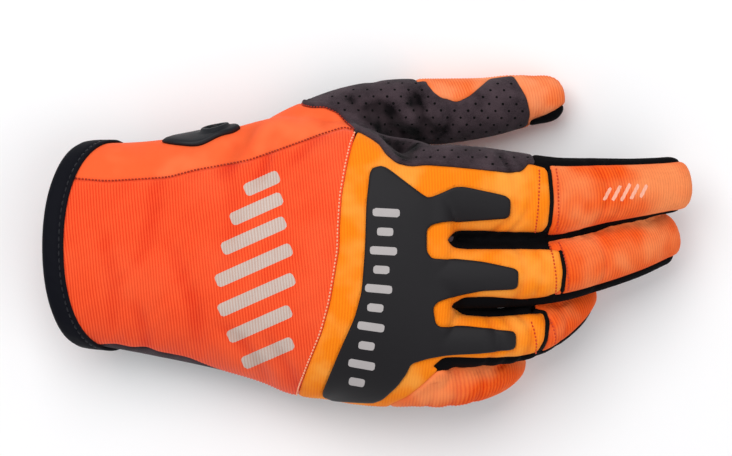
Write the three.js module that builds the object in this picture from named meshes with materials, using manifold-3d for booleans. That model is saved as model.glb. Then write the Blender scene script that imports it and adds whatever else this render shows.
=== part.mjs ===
// Motocross glove for the right hand, filled as if worn and resting palm down.
// Millimetres, +Z up: +X runs to the fingertips, +Y to the thumb.
import * as THREE from 'three';
import { mergeVertices } from 'three/addons/utils/BufferGeometryUtils.js';
import Module from 'manifold-3d';

const wasm = await Module();
wasm.setup();

// Main sizes
const gloveLength = 244.8;
const knuckleWidth = 102;
const gloveHeight = 60;

// Cloth, gaps and layers
const wall = 1.7;
const seamGap = 0.3;
const guardThickness = 1.1;
const tabThickness = 2;
const tabRingHeight = 1.2;
const bindingThickness = 1.1;
const bindingWidth = 8;

// Cuff edge: its plane passes through the back and the palm side at these places
const cuffBackX = -121;
const cuffBackZ = 47;
const cuffPalmX = -87;
const cuffPalmZ = 0;

// How finely the forms are drawn
const handSides = 32;
const handSpans = 20;
const fingerSides = 14;
const fingerSpans = 11;
const tipSteps = 2;
const thinTolerance = 0.14;
const thinPasses = 4;
const leastHeight = 0.25;
const leastStrip = 50;
const outlineReach = 120;

// Hand form, columns: x, thumb side y, little side y, their heights, the top's y and z,
// the underside's y and z, roundness. Shares of length, width or height.
const handUnits = [gloveLength, knuckleWidth, knuckleWidth, gloveHeight, gloveHeight,
  knuckleWidth, gloveHeight, knuckleWidth, gloveHeight, 1];
const handSections = [
  [-0.531, 0.353, -0.376, 0.4, 0.442, -0.02, 0.758, -0.02, 0.04, 2.1],
  [-0.458, 0.359, -0.382, 0.4, 0.442, -0.02, 0.77, -0.02, 0.043, 2.1],
  [-0.388, 0.365, -0.4, 0.4, 0.417, -0.02, 0.783, -0.02, 0.035, 2.1],
  [-0.315, 0.376, -0.435, 0.4, 0.377, -0.02, 0.81, -0.029, 0.022, 2.15],
  [-0.237, 0.404, -0.475, 0.408, 0.358, -0.01, 0.847, -0.039, -0.037, 2.2],
  [-0.163, 0.445, -0.529, 0.425, 0.358, 0, 0.887, -0.049, -0.037, 2.2],
  [-0.114, 0.465, -0.573, 0.45, 0.367, 0.01, 0.92, -0.078, 0.02, 2.2],
  [-0.065, 0.457, -0.594, 0.492, 0.383, 0.029, 0.95, -0.118, 0.117, 2.2],
  [-0.016, 0.427, -0.608, 0.567, 0.417, 0.049, 0.977, -0.157, 0.223, 2.2],
  [0.033, 0.388, -0.616, 0.65, 0.467, 0.059, 0.993, -0.196, 0.323, 2.2],
  [0.074, 0.371, -0.612, 0.7, 0.5, 0.059, 0.993, -0.216, 0.393, 2.2],
  [0.102, 0.349, -0.592, 0.725, 0.517, 0.059, 0.98, -0.216, 0.443, 2.2],
];
const knuckleEndReach = 8.6;
const knuckleEndSquareness = 3.4;

// Folds of the hand form, columns: x, angle from the thumb side over the top, reach along,
// reach round, lean for each degree, depth
const foldUnits = [gloveLength, 1, gloveLength, 1, gloveLength, gloveHeight];
const handFolds = [
  [-0.176, 42, 0.02, 26, 0.001, 0.043],
  [-0.123, 30, 0.025, 20, 0.001, -0.027],
  [-0.253, 30, 0.02, 20, 0.001, 0.022],
  [-0.343, 22, 0.025, 22, 0.001, 0.017],
  [-0.27, 150, 0.029, 20, -0.001, 0.017],
  [-0.163, 162, 0.025, 16, -0.001, 0.02],
  [-0.049, 168, 0.025, 14, -0.001, 0.02],
  [-0.286, 84, 0.065, 20, 0.001, 0.017],
  [0.02, 30, 0.025, 18, 0.001, 0.03],
];

// Fingers and thumb, columns: x, y, z, half width, rise, drop, heading, roll
const fingerUnits = [gloveLength, knuckleWidth, gloveHeight, knuckleWidth, knuckleWidth,
  knuckleWidth, 1, 1];
const indexSections = [
  [0.049, 0.192, 0.72, 0.137, 0.12, 0.118, 0, 6],
  [0.098, 0.188, 0.743, 0.163, 0.127, 0.127, 0, 6],
  [0.155, 0.18, 0.747, 0.169, 0.129, 0.127, 0, 6],
  [0.221, 0.167, 0.743, 0.161, 0.125, 0.122, 0, 5],
  [0.286, 0.161, 0.717, 0.149, 0.114, 0.116, 3, 3],
  [0.351, 0.178, 0.66, 0.129, 0.106, 0.11, 5, 2],
  [0.408, 0.19, 0.58, 0.116, 0.098, 0.102, 5, 0],
  [0.458, 0.204, 0.493, 0.107, 0.086, 0.092, 5, 0],
];
const middleSections = [
  [0.049, -0.108, 0.723, 0.108, 0.12, 0.118, 0, 0],
  [0.098, -0.116, 0.747, 0.118, 0.127, 0.124, 0, 0],
  [0.155, -0.12, 0.75, 0.12, 0.129, 0.124, 0, -2],
  [0.221, -0.118, 0.743, 0.117, 0.124, 0.118, 2, -2],
  [0.286, -0.104, 0.7, 0.115, 0.116, 0.114, 10, -2],
  [0.347, -0.071, 0.61, 0.109, 0.106, 0.108, 14, 0],
  [0.404, -0.029, 0.483, 0.107, 0.1, 0.1, 17, 0],
  [0.445, 0.005, 0.343, 0.1, 0.09, 0.09, 18, 0],
];
const ringSections = [
  [0.041, -0.343, 0.643, 0.098, 0.11, 0.104, 0, 10],
  [0.09, -0.351, 0.673, 0.106, 0.118, 0.112, 0, 10],
  [0.151, -0.357, 0.68, 0.106, 0.118, 0.112, 0, 10],
  [0.212, -0.353, 0.67, 0.101, 0.112, 0.108, 8, 8],
  [0.261, -0.324, 0.593, 0.096, 0.106, 0.104, 22, 4],
  [0.3, -0.267, 0.453, 0.092, 0.098, 0.094, 34, 0],
  [0.32, -0.216, 0.297, 0.088, 0.092, 0.088, 38, 0],
  [0.319, -0.196, 0.153, 0.083, 0.082, 0.08, 38, 0],
];
const littleSections = [
  [0.016, -0.506, 0.517, 0.084, 0.092, 0.088, -2, 16],
  [0.065, -0.518, 0.54, 0.09, 0.098, 0.092, 0, 16],
  [0.11, -0.52, 0.543, 0.093, 0.098, 0.094, 4, 16],
  [0.151, -0.51, 0.523, 0.092, 0.098, 0.092, 10, 12],
  [0.188, -0.486, 0.45, 0.09, 0.094, 0.088, 20, 6],
  [0.211, -0.459, 0.307, 0.084, 0.086, 0.082, 28, 0],
  [0.212, -0.445, 0.15, 0.078, 0.078, 0.075, 30, 0],
];
const thumbSections = [
  [-0.18, 0.284, 0.383, 0.108, 0.118, 0.118, 22, 10],
  [-0.106, 0.367, 0.377, 0.129, 0.133, 0.133, 20, 12],
  [-0.033, 0.435, 0.357, 0.133, 0.133, 0.135, 16, 14],
  [0.041, 0.476, 0.323, 0.125, 0.124, 0.127, 8, 14],
  [0.114, 0.484, 0.283, 0.122, 0.116, 0.118, 2, 12],
  [0.18, 0.498, 0.243, 0.112, 0.11, 0.108, 4, 8],
  [0.229, 0.519, 0.207, 0.103, 0.104, 0.104, 6, 4],
  [0.266, 0.529, 0.177, 0.09, 0.094, 0.096, 6, 0],
];

// Seam outlines seen from above, shares of length and width
const backOutline = [
  [-0.501, 0.335], [-0.454, 0.232], [-0.399, 0.221], [-0.343, 0.229], [-0.302, 0.236],
  [-0.262, 0.262], [-0.22, 0.28], [-0.179, 0.299], [-0.162, 0.313], [-0.099, 0.365],
  [-0.073, 0.391], [-0.035, 0.42], [-0.016, 0.409], [-0.022, 0.361], [-0.03, 0.276],
  [-0.038, 0.166], [-0.041, 0.055], [-0.042, -0.033], [-0.045, -0.077], [-0.055, -0.221],
  [-0.068, -0.335], [-0.088, -0.453], [-0.104, -0.553], [-0.117, -0.697], [-0.256, -0.697],
  [-0.394, -0.697], [-0.517, -0.697], [-0.532, -0.033],
];
const sideOutline = [
  [-0.532, 0.299], [-0.454, 0.232], [-0.399, 0.221], [-0.343, 0.229], [-0.302, 0.236],
  [-0.262, 0.262], [-0.22, 0.28], [-0.179, 0.299], [-0.162, 0.313], [-0.099, 0.365],
  [-0.073, 0.391], [-0.035, 0.42], [-0.016, 0.409], [-0.031, 0.442], [-0.045, 0.476],
  [-0.065, 0.498], [-0.085, 0.498], [-0.101, 0.509], [-0.117, 0.667], [-0.256, 0.667],
  [-0.394, 0.667], [-0.532, 0.667],
];
const knuckleOutline = [
  [-0.013, 0.409], [-0.022, 0.361], [-0.03, 0.276], [-0.038, 0.166], [-0.041, 0.055],
  [-0.042, -0.033], [-0.045, -0.077], [-0.055, -0.221], [-0.068, -0.335], [-0.088, -0.453],
  [-0.104, -0.553], [-0.117, -0.697], [0.027, -0.697], [0.036, -0.612], [0.061, -0.582],
  [0.087, -0.531], [0.11, -0.476], [0.102, -0.461], [0.117, -0.431], [0.137, -0.429],
  [0.176, -0.433], [0.237, -0.428], [0.263, -0.413], [0.274, -0.365], [0.276, -0.299],
  [0.271, -0.262], [0.253, -0.262], [0.227, -0.267], [0.188, -0.273], [0.148, -0.265],
  [0.13, -0.24], [0.148, -0.21], [0.188, -0.208], [0.214, -0.214], [0.239, -0.219], [0.274, -0.21],
  [0.297, -0.188], [0.3, -0.107], [0.294, -0.029], [0.277, -0.026], [0.239, -0.024],
  [0.188, -0.024], [0.15, -0.024], [0.133, -0.018], [0.124, 0.004], [0.137, 0.033], [0.176, 0.033],
  [0.214, 0.028], [0.268, 0.026], [0.277, 0.055], [0.28, 0.151], [0.276, 0.269], [0.247, 0.288],
  [0.237, 0.258], [0.22, 0.251], [0.176, 0.262], [0.131, 0.273], [0.09, 0.28], [0.067, 0.276],
  [0.047, 0.288], [0.031, 0.321], [0.021, 0.358], [0.008, 0.38],
];
const guardOutline = [
  [0.022, 0.273], [0.031, 0.265], [0.09, 0.159], [0.099, 0.159], [0.139, 0.203], [0.21, 0.167],
  [0.218, 0.151], [0.217, 0.096], [0.21, 0.085], [0.117, 0.07], [0.098, 0.059], [0.091, 0.041],
  [0.091, -0.037], [0.099, -0.063], [0.137, -0.068], [0.176, -0.077], [0.224, -0.1], [0.23, -0.111],
  [0.229, -0.162], [0.224, -0.173], [0.176, -0.177], [0.137, -0.195], [0.107, -0.221],
  [0.101, -0.243], [0.105, -0.299], [0.112, -0.313], [0.15, -0.313], [0.223, -0.332],
  [0.228, -0.343], [0.227, -0.383], [0.222, -0.394], [0.176, -0.407], [0.125, -0.413],
  [0.091, -0.428], [0.068, -0.446], [0.061, -0.483], [0.048, -0.527], [0.025, -0.579],
  [0.01, -0.593], [-0.05, -0.588], [-0.067, -0.571], [-0.067, -0.553], [-0.041, -0.402],
  [-0.018, -0.28], [-0.007, -0.184], [-0.002, -0.029], [0, 0.133], [0.005, 0.243], [0.01, 0.265],
];
const littleBackOutline = [
  [0.11, -0.476], [0.087, -0.531], [0.061, -0.582], [0.036, -0.612], [0.027, -0.697],
  [0.159, -0.697], [0.297, -0.623], [0.297, -0.494], [0.247, -0.483], [0.205, -0.479],
  [0.159, -0.479],
];
const flexOutlines = {
  index_flex: [
  [0.276, 0.269], [0.28, 0.151], [0.277, 0.055], [0.268, 0.026], [0.276, 0.026], [0.283, 0.055],
  [0.286, 0.151], [0.282, 0.269],
  ],
  middle_flex: [
  [0.294, -0.029], [0.3, -0.107], [0.297, -0.195], [0.303, -0.195], [0.306, -0.107], [0.3, -0.029],
  ],
  ring_flex: [
  [0.253, -0.262], [0.271, -0.262], [0.276, -0.299], [0.274, -0.365], [0.263, -0.413],
  [0.273, -0.405], [0.28, -0.365], [0.282, -0.299], [0.276, -0.251], [0.257, -0.247],
  ],
};
const thumbBackOutline = [
  [0.082, 0.741], [0.093, 0.593], [0.105, 0.557], [0.117, 0.535], [0.141, 0.516], [0.161, 0.542],
  [0.185, 0.597], [0.205, 0.645], [0.225, 0.645], [0.234, 0.605], [0.25, 0.535], [0.256, 0.468],
  [0.251, 0.417], [0.251, 0.372], [0.359, 0.372], [0.359, 0.741],
];
const thumbStripOutline = [
  [0.256, 0.446], [0.279, 0.466], [0.297, 0.488], [0.309, 0.509], [0.328, 0.516], [0.328, 0.372],
  [0.256, 0.372],
];

// Where back and palm materials meet, columns: x, height at the thumb side, beside the ring
// finger and at the little side
const seamUnits = [gloveLength, gloveHeight, gloveHeight, gloveHeight];
const seamHeights = [
  [-0.613, 0.3, 0.433, 0.487],
  [-0.388, 0.283, 0.4, 0.453],
  [-0.245, 0.25, 0.333, 0.363],
  [-0.172, 0.233, 0.3, 0.283],
  [-0.082, 0.333, 0.333, 0.267],
  [0, 0.467, 0.433, 0.308],
  [0.082, 0.6, 0.533, 0.4],
  [0.155, 0.75, 0.65, 0.458],
  [0.327, 0.75, 0.65, 0.458],
];
const seamThumbY = 0.44 * knuckleWidth;
const seamRingY = -0.41 * knuckleWidth;
const seamLittleY = -0.54 * knuckleWidth;

// Pull tab: middle, length, width, tilt of its face and size of its hole
const tabX = -0.255 * gloveLength;
const tabY = 0.388 * knuckleWidth;
const tabZ = 0.51 * gloveHeight;
const tabTilt = 64;
const tabLength = 30;
const tabWidth = 13.5;
const tabHoleX = 5.6;
const tabHoleLength = 7.6;
const tabHoleWidth = 4.6;
const tabRingWidth = 2;
const tabReach = 24;
const tabHeading = 9;
const tabCorners = 18;
const holeCorners = 12;

const sectionRoundness = 2.15;

function sized(rows, units) {
  return rows.map((row) => row.map((share, column) => share * units[column]));
}

function sizedOutline(points) {
  return points.map(([x, y]) => new THREE.Vector2(x * gloveLength, y * knuckleWidth));
}

// A table's row at a fractional place, drawn smoothly through the rows beside it
function rowAt(rows, place) {
  const last = rows.length - 1;
  const index = Math.min(Math.floor(place), last - 1);
  const part = place - index;
  const before = rows[Math.max(index - 1, 0)];
  const start = rows[index];
  const end = rows[index + 1];
  const after = rows[Math.min(index + 2, last)];
  return start.map((value, k) => {
    const slope = (end[k] - before[k]) / 2;
    const nextSlope = (after[k] - value) / 2;
    const rise = end[k] - value;
    return value + part * (slope + part * (3 * rise - 2 * slope - nextSlope
      + part * (slope + nextSlope - 2 * rise)));
  });
}

// Evenly spread places of a table, from a first place to its last row
function placesAlong(rows, spans, first = 0) {
  const reach = rows.length - 1 - first;
  const count = Math.max(2, Math.round((spans * reach) / (rows.length - 1)));
  return Array.from({ length: count + 1 }, (_, k) => first + (k * reach) / count);
}

// A closed solid from positions and triangles, turned right side out
function solidFrom(geometry) {
  const bare = geometry.clone();
  bare.deleteAttribute('normal');
  bare.deleteAttribute('uv');
  const merged = mergeVertices(bare, 1e-4);
  const mesh = new wasm.Mesh({
    numProp: 3,
    vertProperties: new Float32Array(merged.attributes.position.array),
    triVerts: new Uint32Array(merged.index.array),
  });
  return new wasm.Manifold(mesh);
}

// Skin over rings of points, both ends closed by a fan round their middle
function loft(rings) {
  const around = rings[0].length;
  const positions = rings.flat().flatMap((point) => [point.x, point.y, point.z]);
  const triangles = [];
  for (let k = 0; k + 1 < rings.length; k += 1) {
    for (let j = 0; j < around; j += 1) {
      const a = k * around + j;
      const b = k * around + (j + 1) % around;
      triangles.push(a, b, b + around, a, b + around, a + around);
    }
  }
  const ends = [[rings[0], 0, true], [rings.at(-1), (rings.length - 1) * around, false]];
  for (const [ring, first, reversed] of ends) {
    const middle = ring.reduce((sum, point) => sum.add(point), new THREE.Vector3());
    middle.divideScalar(around);
    const centre = positions.length / 3;
    positions.push(middle.x, middle.y, middle.z);
    for (let j = 0; j < around; j += 1) {
      const a = first + j;
      const b = first + (j + 1) % around;
      triangles.push(...(reversed ? [centre, b, a] : [centre, a, b]));
    }
  }
  const geometry = new THREE.BufferGeometry();
  geometry.setAttribute('position', new THREE.Float32BufferAttribute(positions, 3));
  geometry.setIndex(triangles);
  const built = solidFrom(geometry);
  if (built.volume() > 0) {
    return built;
  }
  geometry.setIndex(triangles.reverse());
  return solidFrom(geometry);
}

function block(low, high) {
  const size = high.map((value, axis) => value - low[axis]);
  const geometry = new THREE.BoxGeometry(...size);
  geometry.translate(...low.map((value, axis) => value + size[axis] / 2));
  return solidFrom(geometry);
}

function movedOutline(points, distance) {
  const outward = THREE.ShapeUtils.area(points) > 0 ? distance : -distance;
  return points.map((point, k) => {
    const before = points.at(k - 1);
    const after = points[(k + 1) % points.length];
    const first = point.clone().sub(before).normalize();
    const second = after.clone().sub(point).normalize();
    const normal = new THREE.Vector2(first.y + second.y, -first.x - second.x).normalize();
    const lean = Math.max(0.5, normal.dot(new THREE.Vector2(first.y, -first.x)));
    return point.clone().addScaledVector(normal, outward / lean);
  });
}

// Upright prism over an outline, moved outward by a distance
function prism(outline, distance) {
  const shape = new THREE.Shape(movedOutline(sizedOutline(outline), distance));
  const geometry = new THREE.ExtrudeGeometry(shape, {
    depth: outlineReach,
    bevelEnabled: false,
    curveSegments: 1,
  });
  return solidFrom(geometry);
}

function power(value, roundness) {
  return Math.sign(value) * Math.abs(value) ** (2 / roundness);
}

function foldDepth(x, angle) {
  return sized(handFolds, foldUnits).reduce((sum, [atX, atAngle, along, round, lean, depth]) => {
    const turn = angle - atAngle;
    const run = (x - atX - lean * turn) / along;
    return sum + depth * Math.exp(-run * run - (turn / round) ** 2);
  }, 0);
}

function handRing(row, offset, x, scale) {
  const [, thumbY, littleY, thumbZ, littleZ, topY, topZ, lowY, lowZ, round] = row;
  const middleY = (thumbY + littleY) / 2;
  const middleZ = (topZ + lowZ) / 2;
  return Array.from({ length: handSides }, (_, j) => {
    const turn = (2 * Math.PI * j) / handSides;
    const across = power(Math.cos(turn), round);
    const rise = power(Math.sin(turn), round);
    const peakY = rise > 0 ? topY : lowY;
    const sideY = across > 0 ? thumbY + offset : littleY - offset;
    const sideZ = across > 0 ? thumbZ : littleZ;
    const peakZ = rise > 0 ? topZ + offset : lowZ - offset;
    const y = peakY + (sideY - peakY) * Math.abs(across);
    const z = sideZ + (peakZ - sideZ) * Math.abs(rise);
    const reach = Math.hypot(y - middleY, z - middleZ);
    const degrees = THREE.MathUtils.radToDeg(turn);
    const kept = scale * (1 - foldDepth(x, degrees) / reach);
    return new THREE.Vector3(x, middleY + (y - middleY) * kept, middleZ + (z - middleZ) * kept);
  });
}

// Shrinking shares of a rounded end: how far along, how large
function roundedEnd(steps, squareness) {
  return Array.from({ length: steps }, (_, k) => {
    const along = Math.sin((Math.PI / 2) * ((k + 1) / (steps + 0.35)));
    return [along, (1 - along ** squareness) ** (1 / squareness)];
  });
}

function handForm(offset) {
  const rows = sized(handSections, handUnits);
  const rings = placesAlong(rows, handSpans).map((place) => {
    const row = rowAt(rows, place);
    return handRing(row, offset, row[0], 1);
  });
  const last = rows.at(-1);
  for (const [along, scale] of roundedEnd(tipSteps, knuckleEndSquareness)) {
    const x = last[0] + along * (knuckleEndReach + offset);
    rings.push(handRing(last, offset, x, scale));
  }
  return loft(rings);
}

// Place, side and up directions of a finger at a fractional place of its table
function fingerFrame(rows, place) {
  const row = rowAt(rows, place);
  const step = 0.02;
  const ahead = rowAt(rows, Math.min(place + step, rows.length - 1));
  const behind = rowAt(rows, Math.max(place - step, 0));
  const centre = new THREE.Vector3(row[0], row[1], row[2]);
  const along = new THREE.Vector3(ahead[0] - behind[0], ahead[1] - behind[1],
    ahead[2] - behind[2]).normalize();
  const heading = THREE.MathUtils.degToRad(row[6]);
  const level = new THREE.Vector3(-Math.sin(heading), Math.cos(heading), 0);
  level.addScaledVector(along, -level.dot(along)).normalize();
  const top = along.clone().cross(level);
  const roll = THREE.MathUtils.degToRad(row[7]);
  const side = level.clone().multiplyScalar(Math.cos(roll)).addScaledVector(top, Math.sin(roll));
  const up = top.clone().multiplyScalar(Math.cos(roll)).addScaledVector(level, -Math.sin(roll));
  return { centre, along, side, up, half: row[3], rise: row[4], drop: row[5] };
}

function fingerRing(frame, offset, shift, scale) {
  const { centre, along, side, up, half, rise, drop } = frame;
  return Array.from({ length: fingerSides }, (_, j) => {
    const turn = (2 * Math.PI * j) / fingerSides;
    const across = power(Math.cos(turn), sectionRoundness) * (half + offset) * scale;
    const reach = (Math.sin(turn) > 0 ? rise : drop) + offset;
    const height = power(Math.sin(turn), sectionRoundness) * reach * scale;
    return centre.clone().addScaledVector(along, shift).addScaledVector(side, across)
      .addScaledVector(up, height);
  });
}

function fingerForm(finger, offset) {
  const rows = sized(finger.sections, fingerUnits);
  const rings = placesAlong(rows, fingerSpans)
    .map((place) => fingerRing(fingerFrame(rows, place), offset, 0, 1));
  const frame = fingerFrame(rows, rows.length - 1);
  for (const [along, scale] of roundedEnd(tipSteps, finger.tipSquareness)) {
    rings.push(fingerRing(frame, offset, along * (finger.tipReach + offset), scale));
  }
  return loft(rings);
}

// Space along a finger between shares of its half width and above a share of its drop
function fingerSpace(finger, low, high, floor, tipFloor, ceiling, firstPlace, distance) {
  const rows = sized(finger.sections, fingerUnits);
  const last = rows.length - 1;
  const places = placesAlong(rows, fingerSpans, firstPlace);
  const stations = places.map((place) => [fingerFrame(rows, place), 0, place / last]);
  const tip = stations.at(-1)[0];
  stations.push([tip, finger.tipReach + 3, 1]);
  const rings = stations.map(([frame, shift, share]) => {
    const late = Math.max(0, (share - 0.75) / 0.25);
    const under = floor + (tipFloor - floor) * late;
    const left = low * frame.half - distance;
    const right = high * frame.half + distance;
    const bottom = (under > 0 ? under * frame.rise : under * frame.drop) - distance;
    const roof = ceiling > 0 ? ceiling * frame.rise : ceiling * frame.drop;
    const top = roof + distance;
    return [[left, bottom], [right, bottom], [right, top], [left, top]]
      .map(([across, height]) => frame.centre.clone().addScaledVector(frame.along, shift)
        .addScaledVector(frame.side, across).addScaledVector(frame.up, height));
  });
  return loft(rings);
}

// Space over the line where back and palm materials meet
function backSpace(distance) {
  const rows = sized(seamHeights, seamUnits);
  const rings = rows.map(([x, thumbZ, ringZ, littleZ]) => {
    const corners = [
      [outlineReach, thumbZ], [seamThumbY, thumbZ], [seamRingY, ringZ], [seamLittleY, littleZ],
      [-outlineReach, littleZ],
    ].map(([y, z]) => new THREE.Vector3(x, y, z - distance));
    corners.push(new THREE.Vector3(x, -outlineReach, outlineReach));
    corners.push(new THREE.Vector3(x, outlineReach, outlineReach));
    return corners;
  });
  return loft(rings);
}

// Surface distances add up here, ten terms for each corner
function planeTerms(a, b, c) {
  const normal = b.clone().sub(a).cross(c.clone().sub(a)).normalize();
  const { x, y, z } = normal;
  const w = -normal.dot(a);
  return [x * x, x * y, x * z, x * w, y * y, y * z, y * w, z * z, z * w, w * w];
}

function squaredDistance(terms, { x, y, z }) {
  const [xx, xy, xz, xw, yy, yz, yw, zz, zw, ww] = terms;
  return xx * x * x + yy * y * y + zz * z * z + ww
    + 2 * (xy * x * y + xz * x * z + yz * y * z + xw * x + yw * y + zw * z);
}

// Takes out corners that the surface doesn't need, moving it by less than a tolerance
function thinned(solid, tolerance) {
  const { vertProperties, triVerts } = solid.getMesh();
  const points = Array.from({ length: vertProperties.length / 3 },
    (_, k) => new THREE.Vector3().fromArray(vertProperties, 3 * k));
  const faces = Array.from({ length: triVerts.length / 3 },
    (_, k) => Array.from(triVerts.slice(3 * k, 3 * k + 3)));
  const facesAt = points.map(() => new Set());
  const terms = points.map(() => new Array(10).fill(0));
  faces.forEach((face, index) => {
    const plane = planeTerms(...face.map((corner) => points[corner]));
    for (const corner of face) {
      facesAt[corner].add(index);
      plane.forEach((term, k) => { terms[corner][k] += term; });
    }
  });
  const neighbours = (corner) => new Set([...facesAt[corner]]
    .flatMap((index) => faces[index]).filter((other) => other !== corner));
  const facing = (face) => {
    const [a, b, c] = face.map((corner) => points[corner]);
    return b.clone().sub(a).cross(c.clone().sub(a));
  };
  const slimness = (face) => {
    const [a, b, c] = face.map((corner) => points[corner]);
    const longest = Math.max(a.distanceTo(b), b.distanceTo(c), c.distanceTo(a));
    return facing(face).length() / longest;
  };
  const canMove = (from, to) => {
    if (!facesAt[from].size || !facesAt[to].size) {
      return false;
    }
    const shared = [...neighbours(from)].filter((corner) => neighbours(to).has(corner));
    if (shared.length !== 2 || squaredDistance(terms[from], points[to]) > tolerance ** 2) {
      return false;
    }
    return [...facesAt[from]].filter((index) => !faces[index].includes(to)).every((index) => {
      const moved = faces[index].map((corner) => (corner === from ? to : corner));
      const before = facing(faces[index]);
      const after = facing(moved);
      const kept = Math.min(leastHeight, slimness(faces[index]));
      return before.dot(after) > 0.5 * before.length() * after.length()
        && slimness(moved) >= kept;
    });
  };
  const move = (from, to) => {
    for (const index of facesAt[from]) {
      if (faces[index].includes(to)) {
        faces[index].forEach((corner) => corner !== from && facesAt[corner].delete(index));
        faces[index] = null;
      } else {
        faces[index] = faces[index].map((corner) => (corner === from ? to : corner));
        facesAt[to].add(index);
      }
    }
    facesAt[from].clear();
    terms[from].forEach((term, k) => { terms[to][k] += term; });
  };
  for (let pass = 0; pass < thinPasses; pass += 1) {
    const moves = faces.filter(Boolean)
      .flatMap(([a, b, c]) => [[a, b], [b, c], [c, a], [b, a], [c, b], [a, c]])
      .map(([from, to]) => [squaredDistance(terms[from], points[to]), from, to])
      .filter(([cost]) => cost < tolerance ** 2)
      .sort((one, other) => one[0] - other[0]);
    for (const [, from, to] of moves) {
      if (canMove(from, to)) {
        move(from, to);
      }
    }
  }
  const geometry = new THREE.BufferGeometry();
  geometry.setAttribute('position', new THREE.Float32BufferAttribute(vertProperties, 3));
  geometry.setIndex(faces.filter(Boolean).flat());
  return geometry;
}

function largest(solid) {
  return solid.decompose().reduce((best, next) => (next.volume() > best.volume() ? next : best));
}

function joined(solids) {
  return solids.reduce((sum, next) => sum.add(next));
}

const fingers = {
  index: { sections: indexSections, tipReach: 10.5, tipSquareness: 3 },
  middle: { sections: middleSections, tipReach: 9.5, tipSquareness: 2.9 },
  ring: { sections: ringSections, tipReach: 8.5, tipSquareness: 2.3 },
  little: { sections: littleSections, tipReach: 8, tipSquareness: 2.3 },
  thumb: { sections: thumbSections, tipReach: 10.6, tipSquareness: 2.8 },
};

// The whole glove's outside, grown or shrunk by a distance
function gloveForm(offset) {
  const parts = Object.values(fingers).map((finger) => fingerForm(finger, offset));
  return joined([handForm(offset), ...parts]);
}

const farReach = 300;
function aboveFloor(height) {
  return block([-farReach, -farReach, height], [farReach, farReach, farReach]);
}

// Space past the cuff's plane by more than a distance towards the arm
function pastCuff(distance) {
  const rise = cuffBackZ - cuffPalmZ;
  const run = cuffPalmX - cuffBackX;
  const geometry = new THREE.BoxGeometry(farReach, farReach, farReach);
  geometry.translate(-farReach / 2 - distance, 0, 0);
  geometry.rotateY(-Math.atan2(run, rise));
  geometry.translate(cuffBackX, 0, cuffBackZ);
  return solidFrom(geometry);
}

// Strips of each finger that are cut from the shell: share of the half width at the low and
// high side, floor and tip floor as shares of drop, ceiling as a share of rise, first place
const fingerStrips = {
  index: {
    back: { low: -0.94, high: 0.82, floor: 0, tipFloor: -0.5, ceiling: 1.3, from: 3.84 },
    inner: { low: -1.1, high: 0, floor: -0.3, tipFloor: -0.3, ceiling: 1.15, from: 1.15 },
    outer: { low: 0, high: 1.1, floor: -0.3, tipFloor: -0.3, ceiling: 1.15, from: 3.45 },
  },
  middle: {
    back: { low: -0.88, high: 0.92, floor: 0, tipFloor: -0.5, ceiling: 1.3, from: 3.88 },
    sides: { low: -1.1, high: 1.1, floor: -0.3, tipFloor: -0.3, ceiling: 1.15, from: 1.15 },
  },
  ring: {
    back: { low: -0.9, high: 0.9, floor: 0, tipFloor: -0.5, ceiling: 1.15, from: 3.72 },
    sides: { low: -1.1, high: 1.1, floor: -0.3, tipFloor: -0.3, ceiling: 1.15, from: 1.15 },
  },
  little: {
    back: { low: -1.3, high: 0.8, floor: -0.3, tipFloor: -0.5, ceiling: 1.15, from: 1.2 },
    sides: { low: -1.05, high: 1.1, floor: -0.3, tipFloor: -0.3, ceiling: 1.15, from: 1.15 },
  },
  thumb: {
    back: { low: -1.2, high: 2, floor: -2.2, tipFloor: -2.2, ceiling: 0.1, from: 3.5 },
    sleeve: { low: -1.2, high: 2, floor: -2.2, tipFloor: -2.2, ceiling: 2, from: 3.5 },
    gusset: { low: -1.6, high: 1.6, floor: -0.25, tipFloor: -0.25, ceiling: 2, from: 4 },
  },
};

function strip(finger, name, distance) {
  const { low, high, floor, tipFloor, ceiling, from } = fingerStrips[finger][name];
  return fingerSpace(fingers[finger], low, high, floor, tipFloor, ceiling, from, distance);
}

const half = seamGap / 2;
const outside = gloveForm(0).intersect(aboveFloor(0));
const inside = gloveForm(-wall).intersect(aboveFloor(wall));
const shell = outside.subtract(inside).subtract(pastCuff(0));

const cutters = {
  knuckle_panel: (d) => prism(knuckleOutline, d).intersect(backSpace(d)),
  index_flex: (d) => prism(flexOutlines.index_flex, d).intersect(backSpace(d)),
  middle_flex: (d) => prism(flexOutlines.middle_flex, d).intersect(backSpace(d)),
  ring_flex: (d) => prism(flexOutlines.ring_flex, d).intersect(backSpace(d)),
  side_panel: (d) => prism(sideOutline, d).intersect(backSpace(d)),
  back_panel: (d) => prism(backOutline, d).intersect(backSpace(d)),
  index_back: (d) => strip('index', 'back', d),
  middle_back: (d) => strip('middle', 'back', d),
  ring_back: (d) => strip('ring', 'back', d),
  little_back: (d) => strip('little', 'back', d)
    .add(prism(littleBackOutline, d).intersect(backSpace(d))),
  thumb_gusset: (d) => prism(thumbStripOutline, d).intersect(strip('thumb', 'gusset', d)),
  thumb_back: (d) => strip('thumb', 'back', d)
    .add(prism(thumbBackOutline, d).intersect(strip('thumb', 'sleeve', d))),
  gussets: (d) => joined([
    strip('index', 'outer', d),
    strip('index', 'inner', d),
    strip('middle', 'sides', d),
    strip('ring', 'sides', d),
    strip('little', 'sides', d),
  ]),
};

// Gusset strips by where their middle lies, shares of length and width
const gussetPlaces = {
  gusset_index_outer: [0.365, 0.24],
  gusset_index_middle: [0.29, 0.11],
  gusset_middle_ring: [0.3, -0.17],
  gusset_ring_little: [0.23, -0.34],
};

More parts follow.
